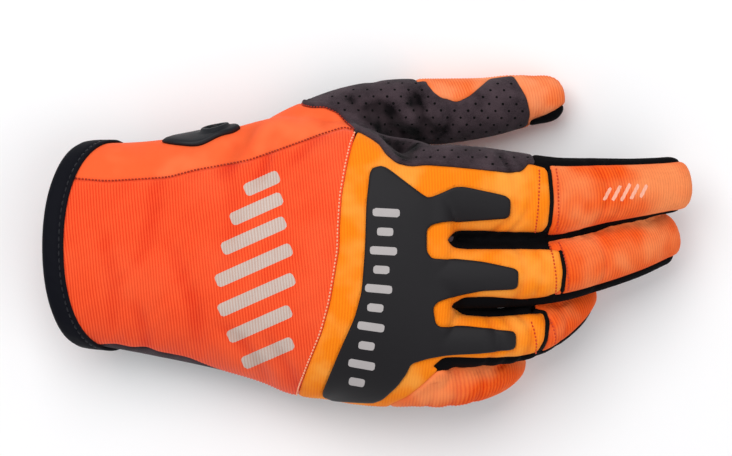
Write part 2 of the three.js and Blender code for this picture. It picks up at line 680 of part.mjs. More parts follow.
function nearestStrip(strips, [shareX, shareY]) {
  const target = new THREE.Vector2(shareX * gloveLength, shareY * knuckleWidth);
  const distance = (strip) => {
    const { min, max } = strip.boundingBox();
    return target.distanceTo(new THREE.Vector2((min[0] + max[0]) / 2, (min[1] + max[1]) / 2));
  };
  return strips.reduce((best, next) => (distance(next) < distance(best) ? next : best));
}

const pieces = {};
let rest = shell;
for (const [name, cutter] of Object.entries(cutters)) {
  const piece = rest.intersect(cutter(-half));
  rest = rest.subtract(cutter(half));
  if (name === 'gussets') {
    const strips = piece.decompose().filter((strip) => strip.volume() > leastStrip);
    for (const [strip, place] of Object.entries(gussetPlaces)) {
      pieces[strip] = nearestStrip(strips, place);
    }
  } else {
    pieces[name] = piece;
  }
}
pieces.palm = rest;

// The guard lies on the knuckle panel
const guardSkin = gloveForm(seamGap + guardThickness).subtract(gloveForm(seamGap));
pieces.knuckle_guard = guardSkin.intersect(prism(guardOutline, 0)).intersect(backSpace(-half));

// The binding is folded round the cuff's edge, over the cloth's outer and inner side
const bindingOuter = gloveForm(seamGap + bindingThickness).intersect(aboveFloor(0));
const bindingInner = gloveForm(-wall - seamGap - bindingThickness)
  .intersect(aboveFloor(wall + seamGap + bindingThickness));
const bindingSlot = gloveForm(seamGap)
  .subtract(gloveForm(-wall - seamGap).intersect(aboveFloor(wall + seamGap)))
  .subtract(pastCuff(seamGap));
pieces.cuff_binding = bindingOuter.subtract(bindingInner).intersect(pastCuff(-bindingWidth))
  .subtract(pastCuff(seamGap + bindingThickness)).subtract(bindingSlot);

// Leaf outline with pointed ends, from its length and width
function leaf(length, width, points) {
  return Array.from({ length: points }, (_, k) => {
    const turn = (2 * Math.PI * k) / points;
    const along = Math.cos(turn);
    const across = Math.sin(turn) * Math.abs(Math.sin(turn)) ** 0.5;
    return new THREE.Vector2((along * length) / 2, (across * width) / 2);
  });
}

// Space over an outline that faces the tab's way
function tabSpace(points) {
  const geometry = new THREE.ExtrudeGeometry(new THREE.Shape(points), {
    depth: tabReach,
    bevelEnabled: false,
    curveSegments: 1,
  });
  geometry.translate(0, 0, -tabReach / 2);
  geometry.rotateX(-THREE.MathUtils.degToRad(tabTilt));
  geometry.rotateZ(THREE.MathUtils.degToRad(tabHeading));
  geometry.translate(tabX, tabY, tabZ);
  return solidFrom(geometry);
}
function movedAlong(points, distance) {
  return points.map((point) => new THREE.Vector2(point.x + distance, point.y));
}
const tabFoot = gloveForm(seamGap);
const tabHole = movedAlong(leaf(tabHoleLength, tabHoleWidth, holeCorners), tabHoleX);
const tabRim = movedAlong(leaf(tabHoleLength + 2 * tabRingWidth, tabHoleWidth + 2 * tabRingWidth,
  holeCorners), tabHoleX);
pieces.pull_tab = gloveForm(seamGap + tabThickness)
  .intersect(tabSpace(leaf(tabLength, tabWidth, tabCorners)))
  .add(gloveForm(seamGap + tabThickness + tabRingHeight).intersect(tabSpace(tabRim)))
  .subtract(tabSpace(tabHole)).subtract(tabFoot);

// Colour and roughness of each material, and the pieces made of it
const materials = [
  ['#FF5223', 0.85, ['back_panel']],
  ['#FF7040', 0.75, ['side_panel']],
  ['#FF9524', 0.85, ['knuckle_panel']],
  ['#FF7A45', 0.85, ['index_back', 'middle_back', 'ring_back', 'little_back', 'thumb_back']],
  ['#544A4E', 0.9, ['palm']],
  ['#3A3739', 0.6, ['knuckle_guard']],
  ['#14151C', 0.85, ['cuff_binding', 'index_flex', 'middle_flex', 'ring_flex',
    'gusset_index_outer', 'gusset_index_middle', 'gusset_middle_ring', 'gusset_ring_little',
    'thumb_gusset']],
  ['#17181D', 0.5, ['pull_tab']],
];

const glove = new THREE.Group();
for (const [color, roughness, names] of materials) {
  for (const name of names) {
    const material = new THREE.MeshStandardMaterial({ color, roughness, metalness: 0 });
    const mesh = new THREE.Mesh(thinned(largest(pieces[name]), thinTolerance), material);
    mesh.name = name;
    glove.add(mesh);
  }
}


// The glove stands in the middle of its own outline
const outline = new THREE.Box3().setFromObject(glove);
const middle = outline.getCenter(new THREE.Vector3());
glove.position.set(-middle.x, -middle.y, 0);

export default glove;
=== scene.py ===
import math
import bpy
import numpy as np
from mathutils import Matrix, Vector
from mathutils.bvhtree import BVHTree


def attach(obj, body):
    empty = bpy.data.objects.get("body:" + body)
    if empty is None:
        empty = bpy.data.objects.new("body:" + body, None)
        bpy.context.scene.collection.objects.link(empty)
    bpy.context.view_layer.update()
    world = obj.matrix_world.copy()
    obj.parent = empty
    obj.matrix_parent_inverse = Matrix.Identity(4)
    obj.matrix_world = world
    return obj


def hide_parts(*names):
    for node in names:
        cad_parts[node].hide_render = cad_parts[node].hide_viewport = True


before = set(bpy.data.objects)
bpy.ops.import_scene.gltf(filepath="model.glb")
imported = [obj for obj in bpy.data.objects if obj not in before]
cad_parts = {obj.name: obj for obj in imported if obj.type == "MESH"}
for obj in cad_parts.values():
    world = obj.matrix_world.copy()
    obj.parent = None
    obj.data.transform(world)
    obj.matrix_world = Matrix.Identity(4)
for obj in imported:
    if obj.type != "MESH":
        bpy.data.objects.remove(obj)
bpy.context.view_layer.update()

bl_info = {
    "name": "Motocross Glove",
    "version": (1, 0, 0),
    "blender": (4, 5, 0),
    "location": "View3D > Sidebar > Glove",
    "description": "Right-hand slip-on motocross glove, filled as if worn",
    "category": "Object",
}

MM = 0.001

# Main sizes in millimetres
LENGTH = 244.8
WIDTH = 102.0
HEIGHT = 60.0
MIDDLE = np.array([-0.08714, -0.26395, 0.0])
CUFF_BACK = (-121.0, 47.0)
CUFF_PALM = (-87.0, 0.0)

# Hand form: x, thumb side y, little side y, their heights, top y and z, underside y and z,
# roundness. Shares of length, width or height.
HAND_UNITS = (LENGTH, WIDTH, WIDTH, HEIGHT, HEIGHT, WIDTH, HEIGHT, WIDTH, HEIGHT, 1)
HAND = [
  [-0.531, 0.353, -0.376, 0.4, 0.442, -0.02, 0.758, -0.02, 0.04, 2.1],
  [-0.458, 0.359, -0.382, 0.4, 0.442, -0.02, 0.77, -0.02, 0.043, 2.1],
  [-0.388, 0.365, -0.4, 0.4, 0.417, -0.02, 0.783, -0.02, 0.035, 2.1],
  [-0.315, 0.376, -0.435, 0.4, 0.377, -0.02, 0.81, -0.029, 0.022, 2.15],
  [-0.237, 0.404, -0.475, 0.408, 0.358, -0.01, 0.847, -0.039, -0.037, 2.2],
  [-0.163, 0.445, -0.529, 0.425, 0.358, 0, 0.887, -0.049, -0.037, 2.2],
  [-0.114, 0.465, -0.573, 0.45, 0.367, 0.01, 0.92, -0.078, 0.02, 2.2],
  [-0.065, 0.457, -0.594, 0.492, 0.383, 0.029, 0.95, -0.118, 0.117, 2.2],
  [-0.016, 0.427, -0.608, 0.567, 0.417, 0.049, 0.977, -0.157, 0.223, 2.2],
  [0.033, 0.388, -0.616, 0.65, 0.467, 0.059, 0.993, -0.196, 0.323, 2.2],
  [0.074, 0.371, -0.612, 0.7, 0.5, 0.059, 0.993, -0.216, 0.393, 2.2],
  [0.102, 0.349, -0.592, 0.725, 0.517, 0.059, 0.98, -0.216, 0.443, 2.2],
]
KNUCKLE_END = (8.6, 3.4)
# Folds of the hand form: x, angle, reach along, reach round, lean for a degree, depth
FOLD_UNITS = (LENGTH, 1, LENGTH, 1, LENGTH, HEIGHT)
HAND_FOLDS = [
  [-0.176, 42, 0.02, 26, 0.001, 0.043],
  [-0.123, 30, 0.025, 20, 0.001, -0.027],
  [-0.253, 30, 0.02, 20, 0.001, 0.022],
  [-0.343, 22, 0.025, 22, 0.001, 0.017],
  [-0.27, 150, 0.029, 20, -0.001, 0.017],
  [-0.163, 162, 0.025, 16, -0.001, 0.02],
  [-0.049, 168, 0.025, 14, -0.001, 0.02],
  [-0.286, 84, 0.065, 20, 0.001, 0.017],
  [0.02, 30, 0.025, 18, 0.001, 0.03],
]
# Fingers: x, y, z, half width, rise, drop, heading, roll
FINGER_UNITS = (LENGTH, WIDTH, HEIGHT, WIDTH, WIDTH, WIDTH, 1, 1)
INDEX = [
  [0.049, 0.192, 0.72, 0.137, 0.12, 0.118, 0, 6],
  [0.098, 0.188, 0.743, 0.163, 0.127, 0.127, 0, 6],
  [0.155, 0.18, 0.747, 0.169, 0.129, 0.127, 0, 6],
  [0.221, 0.167, 0.743, 0.161, 0.125, 0.122, 0, 5],
  [0.286, 0.161, 0.717, 0.149, 0.114, 0.116, 3, 3],
  [0.351, 0.178, 0.66, 0.129, 0.106, 0.11, 5, 2],
  [0.408, 0.19, 0.58, 0.116, 0.098, 0.102, 5, 0],
  [0.458, 0.204, 0.493, 0.107, 0.086, 0.092, 5, 0],
]
MIDDLE_FINGER = [
  [0.049, -0.108, 0.723, 0.108, 0.12, 0.118, 0, 0],
  [0.098, -0.116, 0.747, 0.118, 0.127, 0.124, 0, 0],
  [0.155, -0.12, 0.75, 0.12, 0.129, 0.124, 0, -2],
  [0.221, -0.118, 0.743, 0.117, 0.124, 0.118, 2, -2],
  [0.286, -0.104, 0.7, 0.115, 0.116, 0.114, 10, -2],
  [0.347, -0.071, 0.61, 0.109, 0.106, 0.108, 14, 0],
  [0.404, -0.029, 0.483, 0.107, 0.1, 0.1, 17, 0],
  [0.445, 0.005, 0.343, 0.1, 0.09, 0.09, 18, 0],
]
RING = [
  [0.041, -0.343, 0.643, 0.098, 0.11, 0.104, 0, 10],
  [0.09, -0.351, 0.673, 0.106, 0.118, 0.112, 0, 10],
  [0.151, -0.357, 0.68, 0.106, 0.118, 0.112, 0, 10],
  [0.212, -0.353, 0.67, 0.101, 0.112, 0.108, 8, 8],
  [0.261, -0.324, 0.593, 0.096, 0.106, 0.104, 22, 4],
  [0.3, -0.267, 0.453, 0.092, 0.098, 0.094, 34, 0],
  [0.32, -0.216, 0.297, 0.088, 0.092, 0.088, 38, 0],
  [0.319, -0.196, 0.153, 0.083, 0.082, 0.08, 38, 0],
]
LITTLE = [
  [0.016, -0.506, 0.517, 0.084, 0.092, 0.088, -2, 16],
  [0.065, -0.518, 0.54, 0.09, 0.098, 0.092, 0, 16],
  [0.11, -0.52, 0.543, 0.093, 0.098, 0.094, 4, 16],
  [0.151, -0.51, 0.523, 0.092, 0.098, 0.092, 10, 12],
  [0.188, -0.486, 0.45, 0.09, 0.094, 0.088, 20, 6],
  [0.211, -0.459, 0.307, 0.084, 0.086, 0.082, 28, 0],
  [0.212, -0.445, 0.15, 0.078, 0.078, 0.075, 30, 0],
]
THUMB = [
  [-0.18, 0.284, 0.383, 0.108, 0.118, 0.118, 22, 10],
  [-0.106, 0.367, 0.377, 0.129, 0.133, 0.133, 20, 12],
  [-0.033, 0.435, 0.357, 0.133, 0.133, 0.135, 16, 14],
  [0.041, 0.476, 0.323, 0.125, 0.124, 0.127, 8, 14],
  [0.114, 0.484, 0.283, 0.122, 0.116, 0.118, 2, 12],
  [0.18, 0.498, 0.243, 0.112, 0.11, 0.108, 4, 8],
  [0.229, 0.519, 0.207, 0.103, 0.104, 0.104, 6, 4],
  [0.266, 0.529, 0.177, 0.09, 0.094, 0.096, 6, 0],
]
# Sections, reach of the rounded tip, its squareness
FINGERS = {
    "index": (INDEX, 10.5, 3.0),
    "middle": (MIDDLE_FINGER, 9.5, 2.9),
    "ring": (RING, 8.5, 2.3),
    "little": (LITTLE, 8.0, 2.3),
    "thumb": (THUMB, 10.6, 2.8),
}
# Seams that two panels share, seen from above, in shares of length and width: between the
# back and the side, behind the knuckles, and beside the little finger
THUMB_SEAM = [
    [-0.454, 0.232], [-0.399, 0.221], [-0.343, 0.229], [-0.302, 0.236], [-0.262, 0.262],
    [-0.22, 0.28], [-0.179, 0.299], [-0.162, 0.313], [-0.099, 0.365], [-0.073, 0.391],
    [-0.035, 0.42], [-0.016, 0.409],
]
KNUCKLE_SEAM = [
    [-0.022, 0.361], [-0.03, 0.276], [-0.038, 0.166], [-0.041, 0.055], [-0.042, -0.033],
    [-0.045, -0.077], [-0.055, -0.221], [-0.068, -0.335], [-0.088, -0.453], [-0.104, -0.553],
    [-0.117, -0.697],
]
LITTLE_SEAM = [
    [0.027, -0.697], [0.036, -0.612], [0.061, -0.582], [0.087, -0.531], [0.11, -0.476],
]
# Outlines of the panels from above, shares of length and width
OUTLINES = {
    "back": [
        [-0.501, 0.335], *THUMB_SEAM, *KNUCKLE_SEAM, [-0.256, -0.697], [-0.394, -0.697],
        [-0.517, -0.697], [-0.532, -0.033],
    ],
    "side": [
        [-0.532, 0.299], *THUMB_SEAM, [-0.031, 0.442], [-0.045, 0.476], [-0.065, 0.498],
        [-0.085, 0.498], [-0.101, 0.509], [-0.117, 0.667], [-0.256, 0.667], [-0.394, 0.667],
        [-0.532, 0.667],
    ],
    "knuckle": [
        [-0.013, 0.409], *KNUCKLE_SEAM, *LITTLE_SEAM, [0.102, -0.461], [0.117, -0.431],
        [0.137, -0.429], [0.176, -0.433], [0.237, -0.428], [0.263, -0.413], [0.274, -0.365],
        [0.276, -0.299], [0.271, -0.262], [0.253, -0.262], [0.227, -0.267], [0.188, -0.273],
        [0.148, -0.265], [0.13, -0.24], [0.148, -0.21], [0.188, -0.208], [0.214, -0.214],
        [0.239, -0.219], [0.274, -0.21], [0.297, -0.188], [0.3, -0.107], [0.294, -0.029],
        [0.277, -0.026], [0.239, -0.024], [0.188, -0.024], [0.15, -0.024], [0.133, -0.018],
        [0.124, 0.004], [0.137, 0.033], [0.176, 0.033], [0.214, 0.028], [0.268, 0.026],
        [0.277, 0.055], [0.28, 0.151], [0.276, 0.269], [0.247, 0.288], [0.237, 0.258],
        [0.22, 0.251], [0.176, 0.262], [0.131, 0.273], [0.09, 0.28], [0.067, 0.276],
        [0.047, 0.288], [0.031, 0.321], [0.021, 0.358], [0.008, 0.38],
    ],
    "guard": [
        [0.022, 0.273], [0.031, 0.265], [0.09, 0.159], [0.099, 0.159], [0.139, 0.203],
        [0.21, 0.167], [0.218, 0.151], [0.217, 0.096], [0.21, 0.085], [0.117, 0.07],
        [0.098, 0.059], [0.091, 0.041], [0.091, -0.037], [0.099, -0.063], [0.137, -0.068],
        [0.176, -0.077], [0.224, -0.1], [0.23, -0.111], [0.229, -0.162], [0.224, -0.173],
        [0.176, -0.177], [0.137, -0.195], [0.107, -0.221], [0.101, -0.243], [0.105, -0.299],
        [0.112, -0.313], [0.15, -0.313], [0.223, -0.332], [0.228, -0.343], [0.227, -0.383],
        [0.222, -0.394], [0.176, -0.407], [0.125, -0.413], [0.091, -0.428], [0.068, -0.446],
        [0.061, -0.483], [0.048, -0.527], [0.025, -0.579], [0.01, -0.593], [-0.05, -0.588],
        [-0.067, -0.571], [-0.067, -0.553], [-0.041, -0.402], [-0.018, -0.28], [-0.007, -0.184],
        [-0.002, -0.029], [0, 0.133], [0.005, 0.243], [0.01, 0.265],
    ],
    "little_back": [
        *LITTLE_SEAM[::-1], [0.159, -0.697], [0.297, -0.623], [0.297, -0.494], [0.247, -0.483],
        [0.205, -0.479], [0.159, -0.479],
    ],
    "index_flex": [
        [0.276, 0.269], [0.28, 0.151], [0.277, 0.055], [0.268, 0.026], [0.276, 0.026],
        [0.283, 0.055], [0.286, 0.151], [0.282, 0.269],
    ],
    "middle_flex": [
        [0.294, -0.029], [0.3, -0.107], [0.297, -0.195], [0.303, -0.195], [0.306, -0.107],
        [0.3, -0.029],
    ],
    "ring_flex": [
        [0.253, -0.262], [0.271, -0.262], [0.276, -0.299], [0.274, -0.365], [0.263, -0.413],
        [0.273, -0.405], [0.28, -0.365], [0.282, -0.299], [0.276, -0.251], [0.257, -0.247],
    ],
    "thumb_back": [
        [0.082, 0.741], [0.093, 0.593], [0.105, 0.557], [0.117, 0.535], [0.141, 0.516],
        [0.161, 0.542], [0.185, 0.597], [0.205, 0.645], [0.225, 0.645], [0.234, 0.605],
        [0.25, 0.535], [0.256, 0.468], [0.251, 0.417], [0.251, 0.372], [0.359, 0.372],
        [0.359, 0.741],
    ],
    "thumb_gusset": [
        [0.256, 0.446], [0.279, 0.466], [0.297, 0.488], [0.309, 0.509], [0.328, 0.516],
        [0.328, 0.372], [0.256, 0.372],
    ],
}
# Heights of the line between back and palm: x, thumb side, ring finger, little side
SEAM_HEIGHTS = [
  [-0.613, 0.3, 0.433, 0.487],
  [-0.388, 0.283, 0.4, 0.453],
  [-0.245, 0.25, 0.333, 0.363],
  [-0.172, 0.233, 0.3, 0.283],
  [-0.082, 0.333, 0.333, 0.267],
  [0, 0.467, 0.433, 0.308],
  [0.082, 0.6, 0.533, 0.4],
  [0.155, 0.75, 0.65, 0.458],
  [0.327, 0.75, 0.65, 0.458],
]
SEAM_Y = (0.44 * WIDTH, -0.41 * WIDTH, -0.54 * WIDTH)

# Grid of the base surface, and the gap that a seam leaves between two panels
VOXEL = 1.0
SEAM_GAP = 0.15
# Field value of what lies far outside a panel, a print or a seam
FAR = -50.0
# Shares that one step of smoothing shrinks and the next grows back
SHRINK, GROW = 0.6, -0.62
# A panel's face: height and width of its crown, its level at the seam, and the roll into it
CROWN_HEIGHT, CROWN_WIDTH, CROWN_LEVEL = 0.28, 3.0, 0.1
ROLL_DEPTH, ROLL_WIDTH = 0.5, 0.6
# Trim lies this far over the cloth; the guard's underside is pressed a little closer
SEAT = 0.3
GUARD_SEAT = 0.25
# How far a gusset bulges to touch its neighbour, and over what distance it rises
BULGE, BULGE_RISE = 1.8, 2.5
# The suede's folded edge: width, height, then depth, place and width of its groove
FOLD_WIDTH, FOLD_HEIGHT = 3.0, 0.75
GROOVE_DEPTH, GROOVE_PLACE, GROOVE_WIDTH = 0.65, 1.9, 0.45
# Distance of the punched holes from the palm's edge, and of their discs from the suede
HOLE_MARGIN, HOLE_LIFT = 1.9, 0.17
# Roundness of a finger's section and steps of its measured line
FINGER_ROUNDNESS = 2.15
LINE_STEPS = 150
# Camera: width of its sensor in millimetres, and the height at which the picture is measured
SENSOR_WIDTH = 36.0
PICTURE_LEVEL = 0.04
# Triangles that one panel may have
MOST_TRIANGLES = 190000
# How far the palm laps over the little finger's side behind the knuckles
PALM_LIP = 8.5

# Strips of each finger: low and high side, floor, floor at the tip, ceiling, first place
FINGER_STRIPS = {
    "index": {"back": (-0.94, 0.82, 0, -0.5, 1.3, 3.84),
              "inner": (-1.1, 0, -0.3, -0.3, 1.15, 1.15),
              "outer": (0, 1.1, -0.3, -0.3, 1.15, 3.45)},
    "middle": {"back": (-0.88, 0.92, 0, -0.5, 1.3, 3.88),
               "sides": (-1.1, 1.1, -0.3, -0.3, 1.15, 1.15)},
    "ring": {"back": (-0.9, 0.9, 0, -0.5, 1.15, 3.8),
             "sides": (-1.1, 1.1, -0.3, -0.3, 1.15, 1.15)},
    "little": {"back": (-1.3, 0.8, -0.3, -0.5, 1.15, 1.2),
               "sides": (-1.05, 1.1, -0.3, -0.3, 1.15, 1.15)},
    "thumb": {"back": (-1.2, 2, -2.2, -2.2, 0.1, 3.5),
              "sleeve": (-1.2, 2, -2.2, -2.2, 2, 3.5),
              "gusset": (-1.6, 1.6, -0.25, -0.25, 2, 4)},
}

# Fine folds: x, y, side (1 back, -1 palm), angle, length, width, depth
WRINKLES = [
    (-46, 38, 1, 62, 16, 3.2, 1.5),
    (-38, 30, 1, 75, 12, 2.6, 0.9),
    (-58, 30, 1, 40, 12, 3.0, 0.6),
    (-20, 38, 1, 50, 13, 2.8, 0.9),
    (9.4, 42.8, 1, 128, 12, 4.6, 5.0),
    (20, 40, 1, 10, 13, 3.0, 1.2),
    (-4, 47, 1, -62, 9, 3.4, 0.8),
    (20, 49.5, 1, -70, 8, 2.8, 2.2),
    (-80, 10, 1, 80, 22, 4.0, 0.7),
    (-95, -14, 1, 96, 20, 4.0, 0.7),
    (-66, -20, 1, 105, 20, 4.0, 0.8),
    (-50, 5, 1, 84, 24, 4.5, 0.5),
    (-44, -42, 1, 130, 15, 3.2, 1.0),
    (-30, -48, 1, 118, 14, 2.8, 0.9),
    (-84, -34, 1, 100, 12, 3.0, 0.8),
    (-20, 20, -1, 70, 26, 3.5, 0.7),
    (-30, -10, -1, 96, 30, 3.5, 0.8),
    (0, -20, -1, 84, 30, 3.5, 0.8),
]
# Folds at the finger joints: finger, share of its length, depth, half width, side
JOINT_WRINKLES = [
    ("index", 0.42, 0.7, 1.6, 1), ("index", 0.47, 0.5, 1.4, 1), ("index", 0.74, 0.6, 1.4, 1),
    ("index", 0.80, 0.4, 1.2, 1), ("index", 0.34, 0.9, 2.0, -1), ("index", 0.66, 1.0, 2.0, -1),
    ("middle", 0.44, 0.8, 1.6, 1), ("middle", 0.50, 0.5, 1.3, 1), ("middle", 0.72, 0.6, 1.4, 1),
    ("middle", 0.36, 0.9, 2.0, -1), ("middle", 0.64, 1.0, 2.0, -1),
    ("ring", 0.42, 0.9, 1.5, 1), ("ring", 0.48, 0.8, 1.4, 1), ("ring", 0.54, 0.8, 1.4, 1),
    ("ring", 0.61, 0.7, 1.4, 1), ("ring", 0.69, 0.6, 1.3, 1), ("ring", 0.5, 1.0, 2.0, -1),
    ("little", 0.34, 0.7, 1.4, 1), ("little", 0.46, 0.7, 1.4, 1), ("little", 0.58, 0.6, 1.3, 1),
    ("little", 0.5, 0.9, 1.8, -1),
    ("thumb", 0.40, 0.7, 1.6, 1), ("thumb", 0.62, 0.7, 1.5, 1), ("thumb", 0.68, 0.5, 1.3, 1),
    ("thumb", 0.5, 0.9, 2.0, -1),
]

# Moulded tab: place as shares of the main sizes, turns in degrees, sizes in millimetres
TAB = {"place": (-0.255, 0.388, 0.51), "heading": 9, "tilt": 64, "size": (30, 13.5),
       "hole": (7.6, 4.6), "hole_at": 5.6}

# Printed bars: x, y, length, width, angle
PRINTS = {
    "back_panel": [
        (-39, 21.5, 14, 5.0, 24), (-41, 12, 21, 5.0, 24), (-42, 2, 26, 5.0, 24),
        (-42, -9, 31, 5.0, 24), (-41, -20, 31, 5.0, 24), (-40, -31, 26, 5.0, 24),
        (-37, -42, 21, 5.0, 24),
    ],
    "knuckle_guard": [
        (7.4, 10.5, 10, 3.0, -3), (7.0, 3.5, 6, 3.0, -3), (6.4, -3.5, 10, 3.0, -3),
        (5.6, -10.5, 6, 3.0, -3), (4.6, -17.5, 10, 3.0, -5), (3.4, -24.5, 6, 3.0, -6),
        (1.8, -31.5, 10, 3.0, -8), (0.2, -38.5, 6, 3.0, -8), (-1.6, -45.5, 10, 3.0, -10),
        (-3.4, -52.0, 6, 3.0, -10),
    ],
    "index_back": [
        (90, 17.6, 5.5, 1.3, 62), (93.5, 17.9, 6.5, 1.3, 62), (97, 18.2, 7.5, 1.3, 62),
        (100.5, 18.5, 6.5, 1.3, 62), (104, 18.8, 5.5, 1.3, 62),
    ],
}

# Fields of punched holes: side (1 from above, -1 from below), x and y limits, lean of the rows
HOLE_FIELDS = [
    (1, -34, 62, 20, 62, 0.25),
    (-1, -80, 18, -36, 36, 0.0),
]

# Gussets that bulge against the next finger
TOUCHING = ("gusset_middle_ring",)

# Sewn seams: outline, from where to where, distance inside it, thread, spacing, lift
SEWN_SEAMS = [
    ("side", 0.02, 0.50, 0.1, "red_thread", 1.25, -0.1),
    ("knuckle", 0.0, 0.20, -0.65, "thread", 1.4, 0.16),
]
# Hems across the fingers: finger, place, reach to both sides, thread, spacing
FINGER_HEMS = [
    ("index", 3.98, -0.85, 0.75, "orange_thread", 1.3),
    ("middle", 4.1, -0.8, 0.85, "orange_thread", 1.3),
    ("ring", 4.05, -0.8, 0.3, "orange_thread", 1.3),
    ("index", 3.55, -0.85, 0.7, "orange_thread", 1.3),
    ("middle", 3.85, -0.85, 0.8, "orange_thread", 1.3),
    ("ring", 3.55, -0.8, 0.5, "orange_thread", 1.3),
]

# Numbers
def sized(rows, units):
    return np.array(rows, float) * np.array(units, float)


def row_at(rows, place):
    """A table's row at a fractional place, drawn smoothly through the rows beside it."""
    last = len(rows) - 1
    k = min(int(place), last - 1)
    t = place - k
    before, start, end, after = (rows[max(k - 1, 0)], rows[k], rows[k + 1],
                                 rows[min(k + 2, last)])
    slope, next_slope, rise = (end - before) / 2, (after - start) / 2, end - start
    return start + t * (slope + t * (3 * rise - 2 * slope - next_slope
                                     + t * (slope + next_slope - 2 * rise)))


def power(value, roundness):
    return np.sign(value) * np.abs(value) ** (2 / roundness)


def unit(v):
    return v / np.maximum(np.linalg.norm(v, axis=-1, keepdims=True), 1e-12)


def smooth_outline(points, rounds=2):
    """Corner-cut outline, so that sewn edges turn softly."""
    line = np.array(points) * (LENGTH, WIDTH)
    for _ in range(rounds):
        after = np.roll(line, -1, axis=0)
        line = np.stack([0.87 * line + 0.13 * after, 0.13 * line + 0.87 * after],
                        axis=1).reshape(-1, 2)
    return line


def outline_distance(line, points):
    """Distance to a closed outline seen from above, positive inside it."""
    xy = points[:, :2]
    best = np.full(len(xy), 1e9)
    inside = np.zeros(len(xy), bool)
    for a, b in zip(line, np.roll(line, -1, axis=0)):
        run = b - a
        t = np.clip(((xy - a) @ run) / max(run @ run, 1e-12), 0, 1)
        gap = xy - a - t[:, None] * run
        best = np.minimum(best, (gap * gap).sum(1))
        crosses = (a[1] > xy[:, 1]) != (b[1] > xy[:, 1])
        x = a[0] + (xy[:, 1] - a[1]) * run[0] / (run[1] if abs(run[1]) > 1e-12 else 1e-12)
        inside ^= crosses & (xy[:, 0] < x)
    return np.where(inside, 1, -1) * np.sqrt(best)


def run_of(path):
    """Length along a path up to each of its points."""
    return np.concatenate([[0], np.cumsum(np.linalg.norm(np.diff(path, axis=0), axis=1))])


def spots_on(path, run, at):
    """Points of a path at given lengths along it."""
    return np.stack([np.interp(at, run, column) for column in path.T], axis=1)


def outward(points, faces):
    """Faces of a closed form, turned so that they look out of it."""
    a, b, c = (points[faces[:, k]] for k in range(3))
    return faces[:, ::-1] if (a * np.cross(b, c)).sum() < 0 else faces


def seam_height(points):
    rows = sized(SEAM_HEIGHTS, (LENGTH, HEIGHT, HEIGHT, HEIGHT))
    thumb, ring, little = (np.interp(points[:, 0], rows[:, 0], rows[:, k]) for k in (1, 2, 3))
    y = points[:, 1]
    lip = (PALM_LIP * np.exp(-((points[:, 0] + 80) / 25) ** 4)
           * np.clip((-y - 26) / 8, 0, 1))
    near = np.clip((y - SEAM_Y[1]) / (SEAM_Y[0] - SEAM_Y[1]), 0, 1)
    far = np.clip((SEAM_Y[1] - y) / (SEAM_Y[1] - SEAM_Y[2]), 0, 1)
    return ring + (thumb - ring) * near + (little - ring) * far + lip


def past_cuff(points):
    """Distance beyond the plane of the cuff's edge, positive towards the arm."""
    run, rise = CUFF_PALM[0] - CUFF_BACK[0], CUFF_BACK[1] - CUFF_PALM[1]
    normal = np.array([-rise, 0, -run]) / math.hypot(run, rise)
    return (points - (CUFF_BACK[0], 0, CUFF_BACK[1])) @ normal


# Forms
def fold_depth(x, degrees):
    total = np.zeros_like(degrees)
    for at_x, at_angle, along, round_, lean, depth in sized(HAND_FOLDS, FOLD_UNITS):
        turn = degrees - at_angle
        total += depth * np.exp(-((x - at_x - lean * turn) / along) ** 2 - (turn / round_) ** 2)
    return total


def hand_ring(row, x, scale, sides):
    _, thumb_y, little_y, thumb_z, little_z, top_y, top_z, low_y, low_z, roundness = row
    turn = 2 * math.pi * np.arange(sides) / sides
    across, rise = power(np.cos(turn), roundness), power(np.sin(turn), roundness)
    peak_y = np.where(rise > 0, top_y, low_y)
    side_y = np.where(across > 0, thumb_y, little_y)
    side_z = np.where(across > 0, thumb_z, little_z)
    peak_z = np.where(rise > 0, top_z, low_z)
    y = peak_y + (side_y - peak_y) * np.abs(across)
    z = side_z + (peak_z - side_z) * np.abs(rise)
    middle_y, middle_z = (thumb_y + little_y) / 2, (top_z + low_z) / 2
    reach = np.hypot(y - middle_y, z - middle_z)
    kept = scale * (1 - fold_depth(x, np.degrees(turn)) / reach)
    return np.stack([np.full(sides, x), middle_y + (y - middle_y) * kept,
                     middle_z + (z - middle_z) * kept], axis=1)


def finger_table(name):
    """A finger's sections in millimetres."""
    return sized(FINGERS[name][0], FINGER_UNITS)


def rounded_end(steps, squareness):
    along = np.sin(np.pi / 2 * (np.arange(steps) + 1) / (steps + 0.35))
    return [(a, (1 - a ** squareness) ** (1 / squareness)) for a in along]


def hand_rings(spans=110, sides=120):
    rows = sized(HAND, HAND_UNITS)
    rings = []
    for place in np.linspace(0, len(rows) - 1, spans + 1):
        row = row_at(rows, place)
        rings.append(hand_ring(row, row[0], 1, sides))
    reach, squareness = KNUCKLE_END
    for along, scale in rounded_end(8, squareness):
        rings.append(hand_ring(rows[-1], rows[-1][0] + along * reach, scale, sides))
    return rings


def finger_frame(rows, place):
    row = row_at(rows, place)
    last = len(rows) - 1
    along = unit(row_at(rows, min(place + 0.02, last))[:3] - row_at(rows, max(place - 0.02, 0))[:3])
    heading, roll = np.radians(row[6]), np.radians(row[7])
    level = np.array([-math.sin(heading), math.cos(heading), 0])
    level = unit(level - along * (level @ along))
    top = np.cross(along, level)
    side = level * math.cos(roll) + top * math.sin(roll)
    up = top * math.cos(roll) - level * math.sin(roll)
    return row[:3], along, side, up, row[3], row[4], row[5]


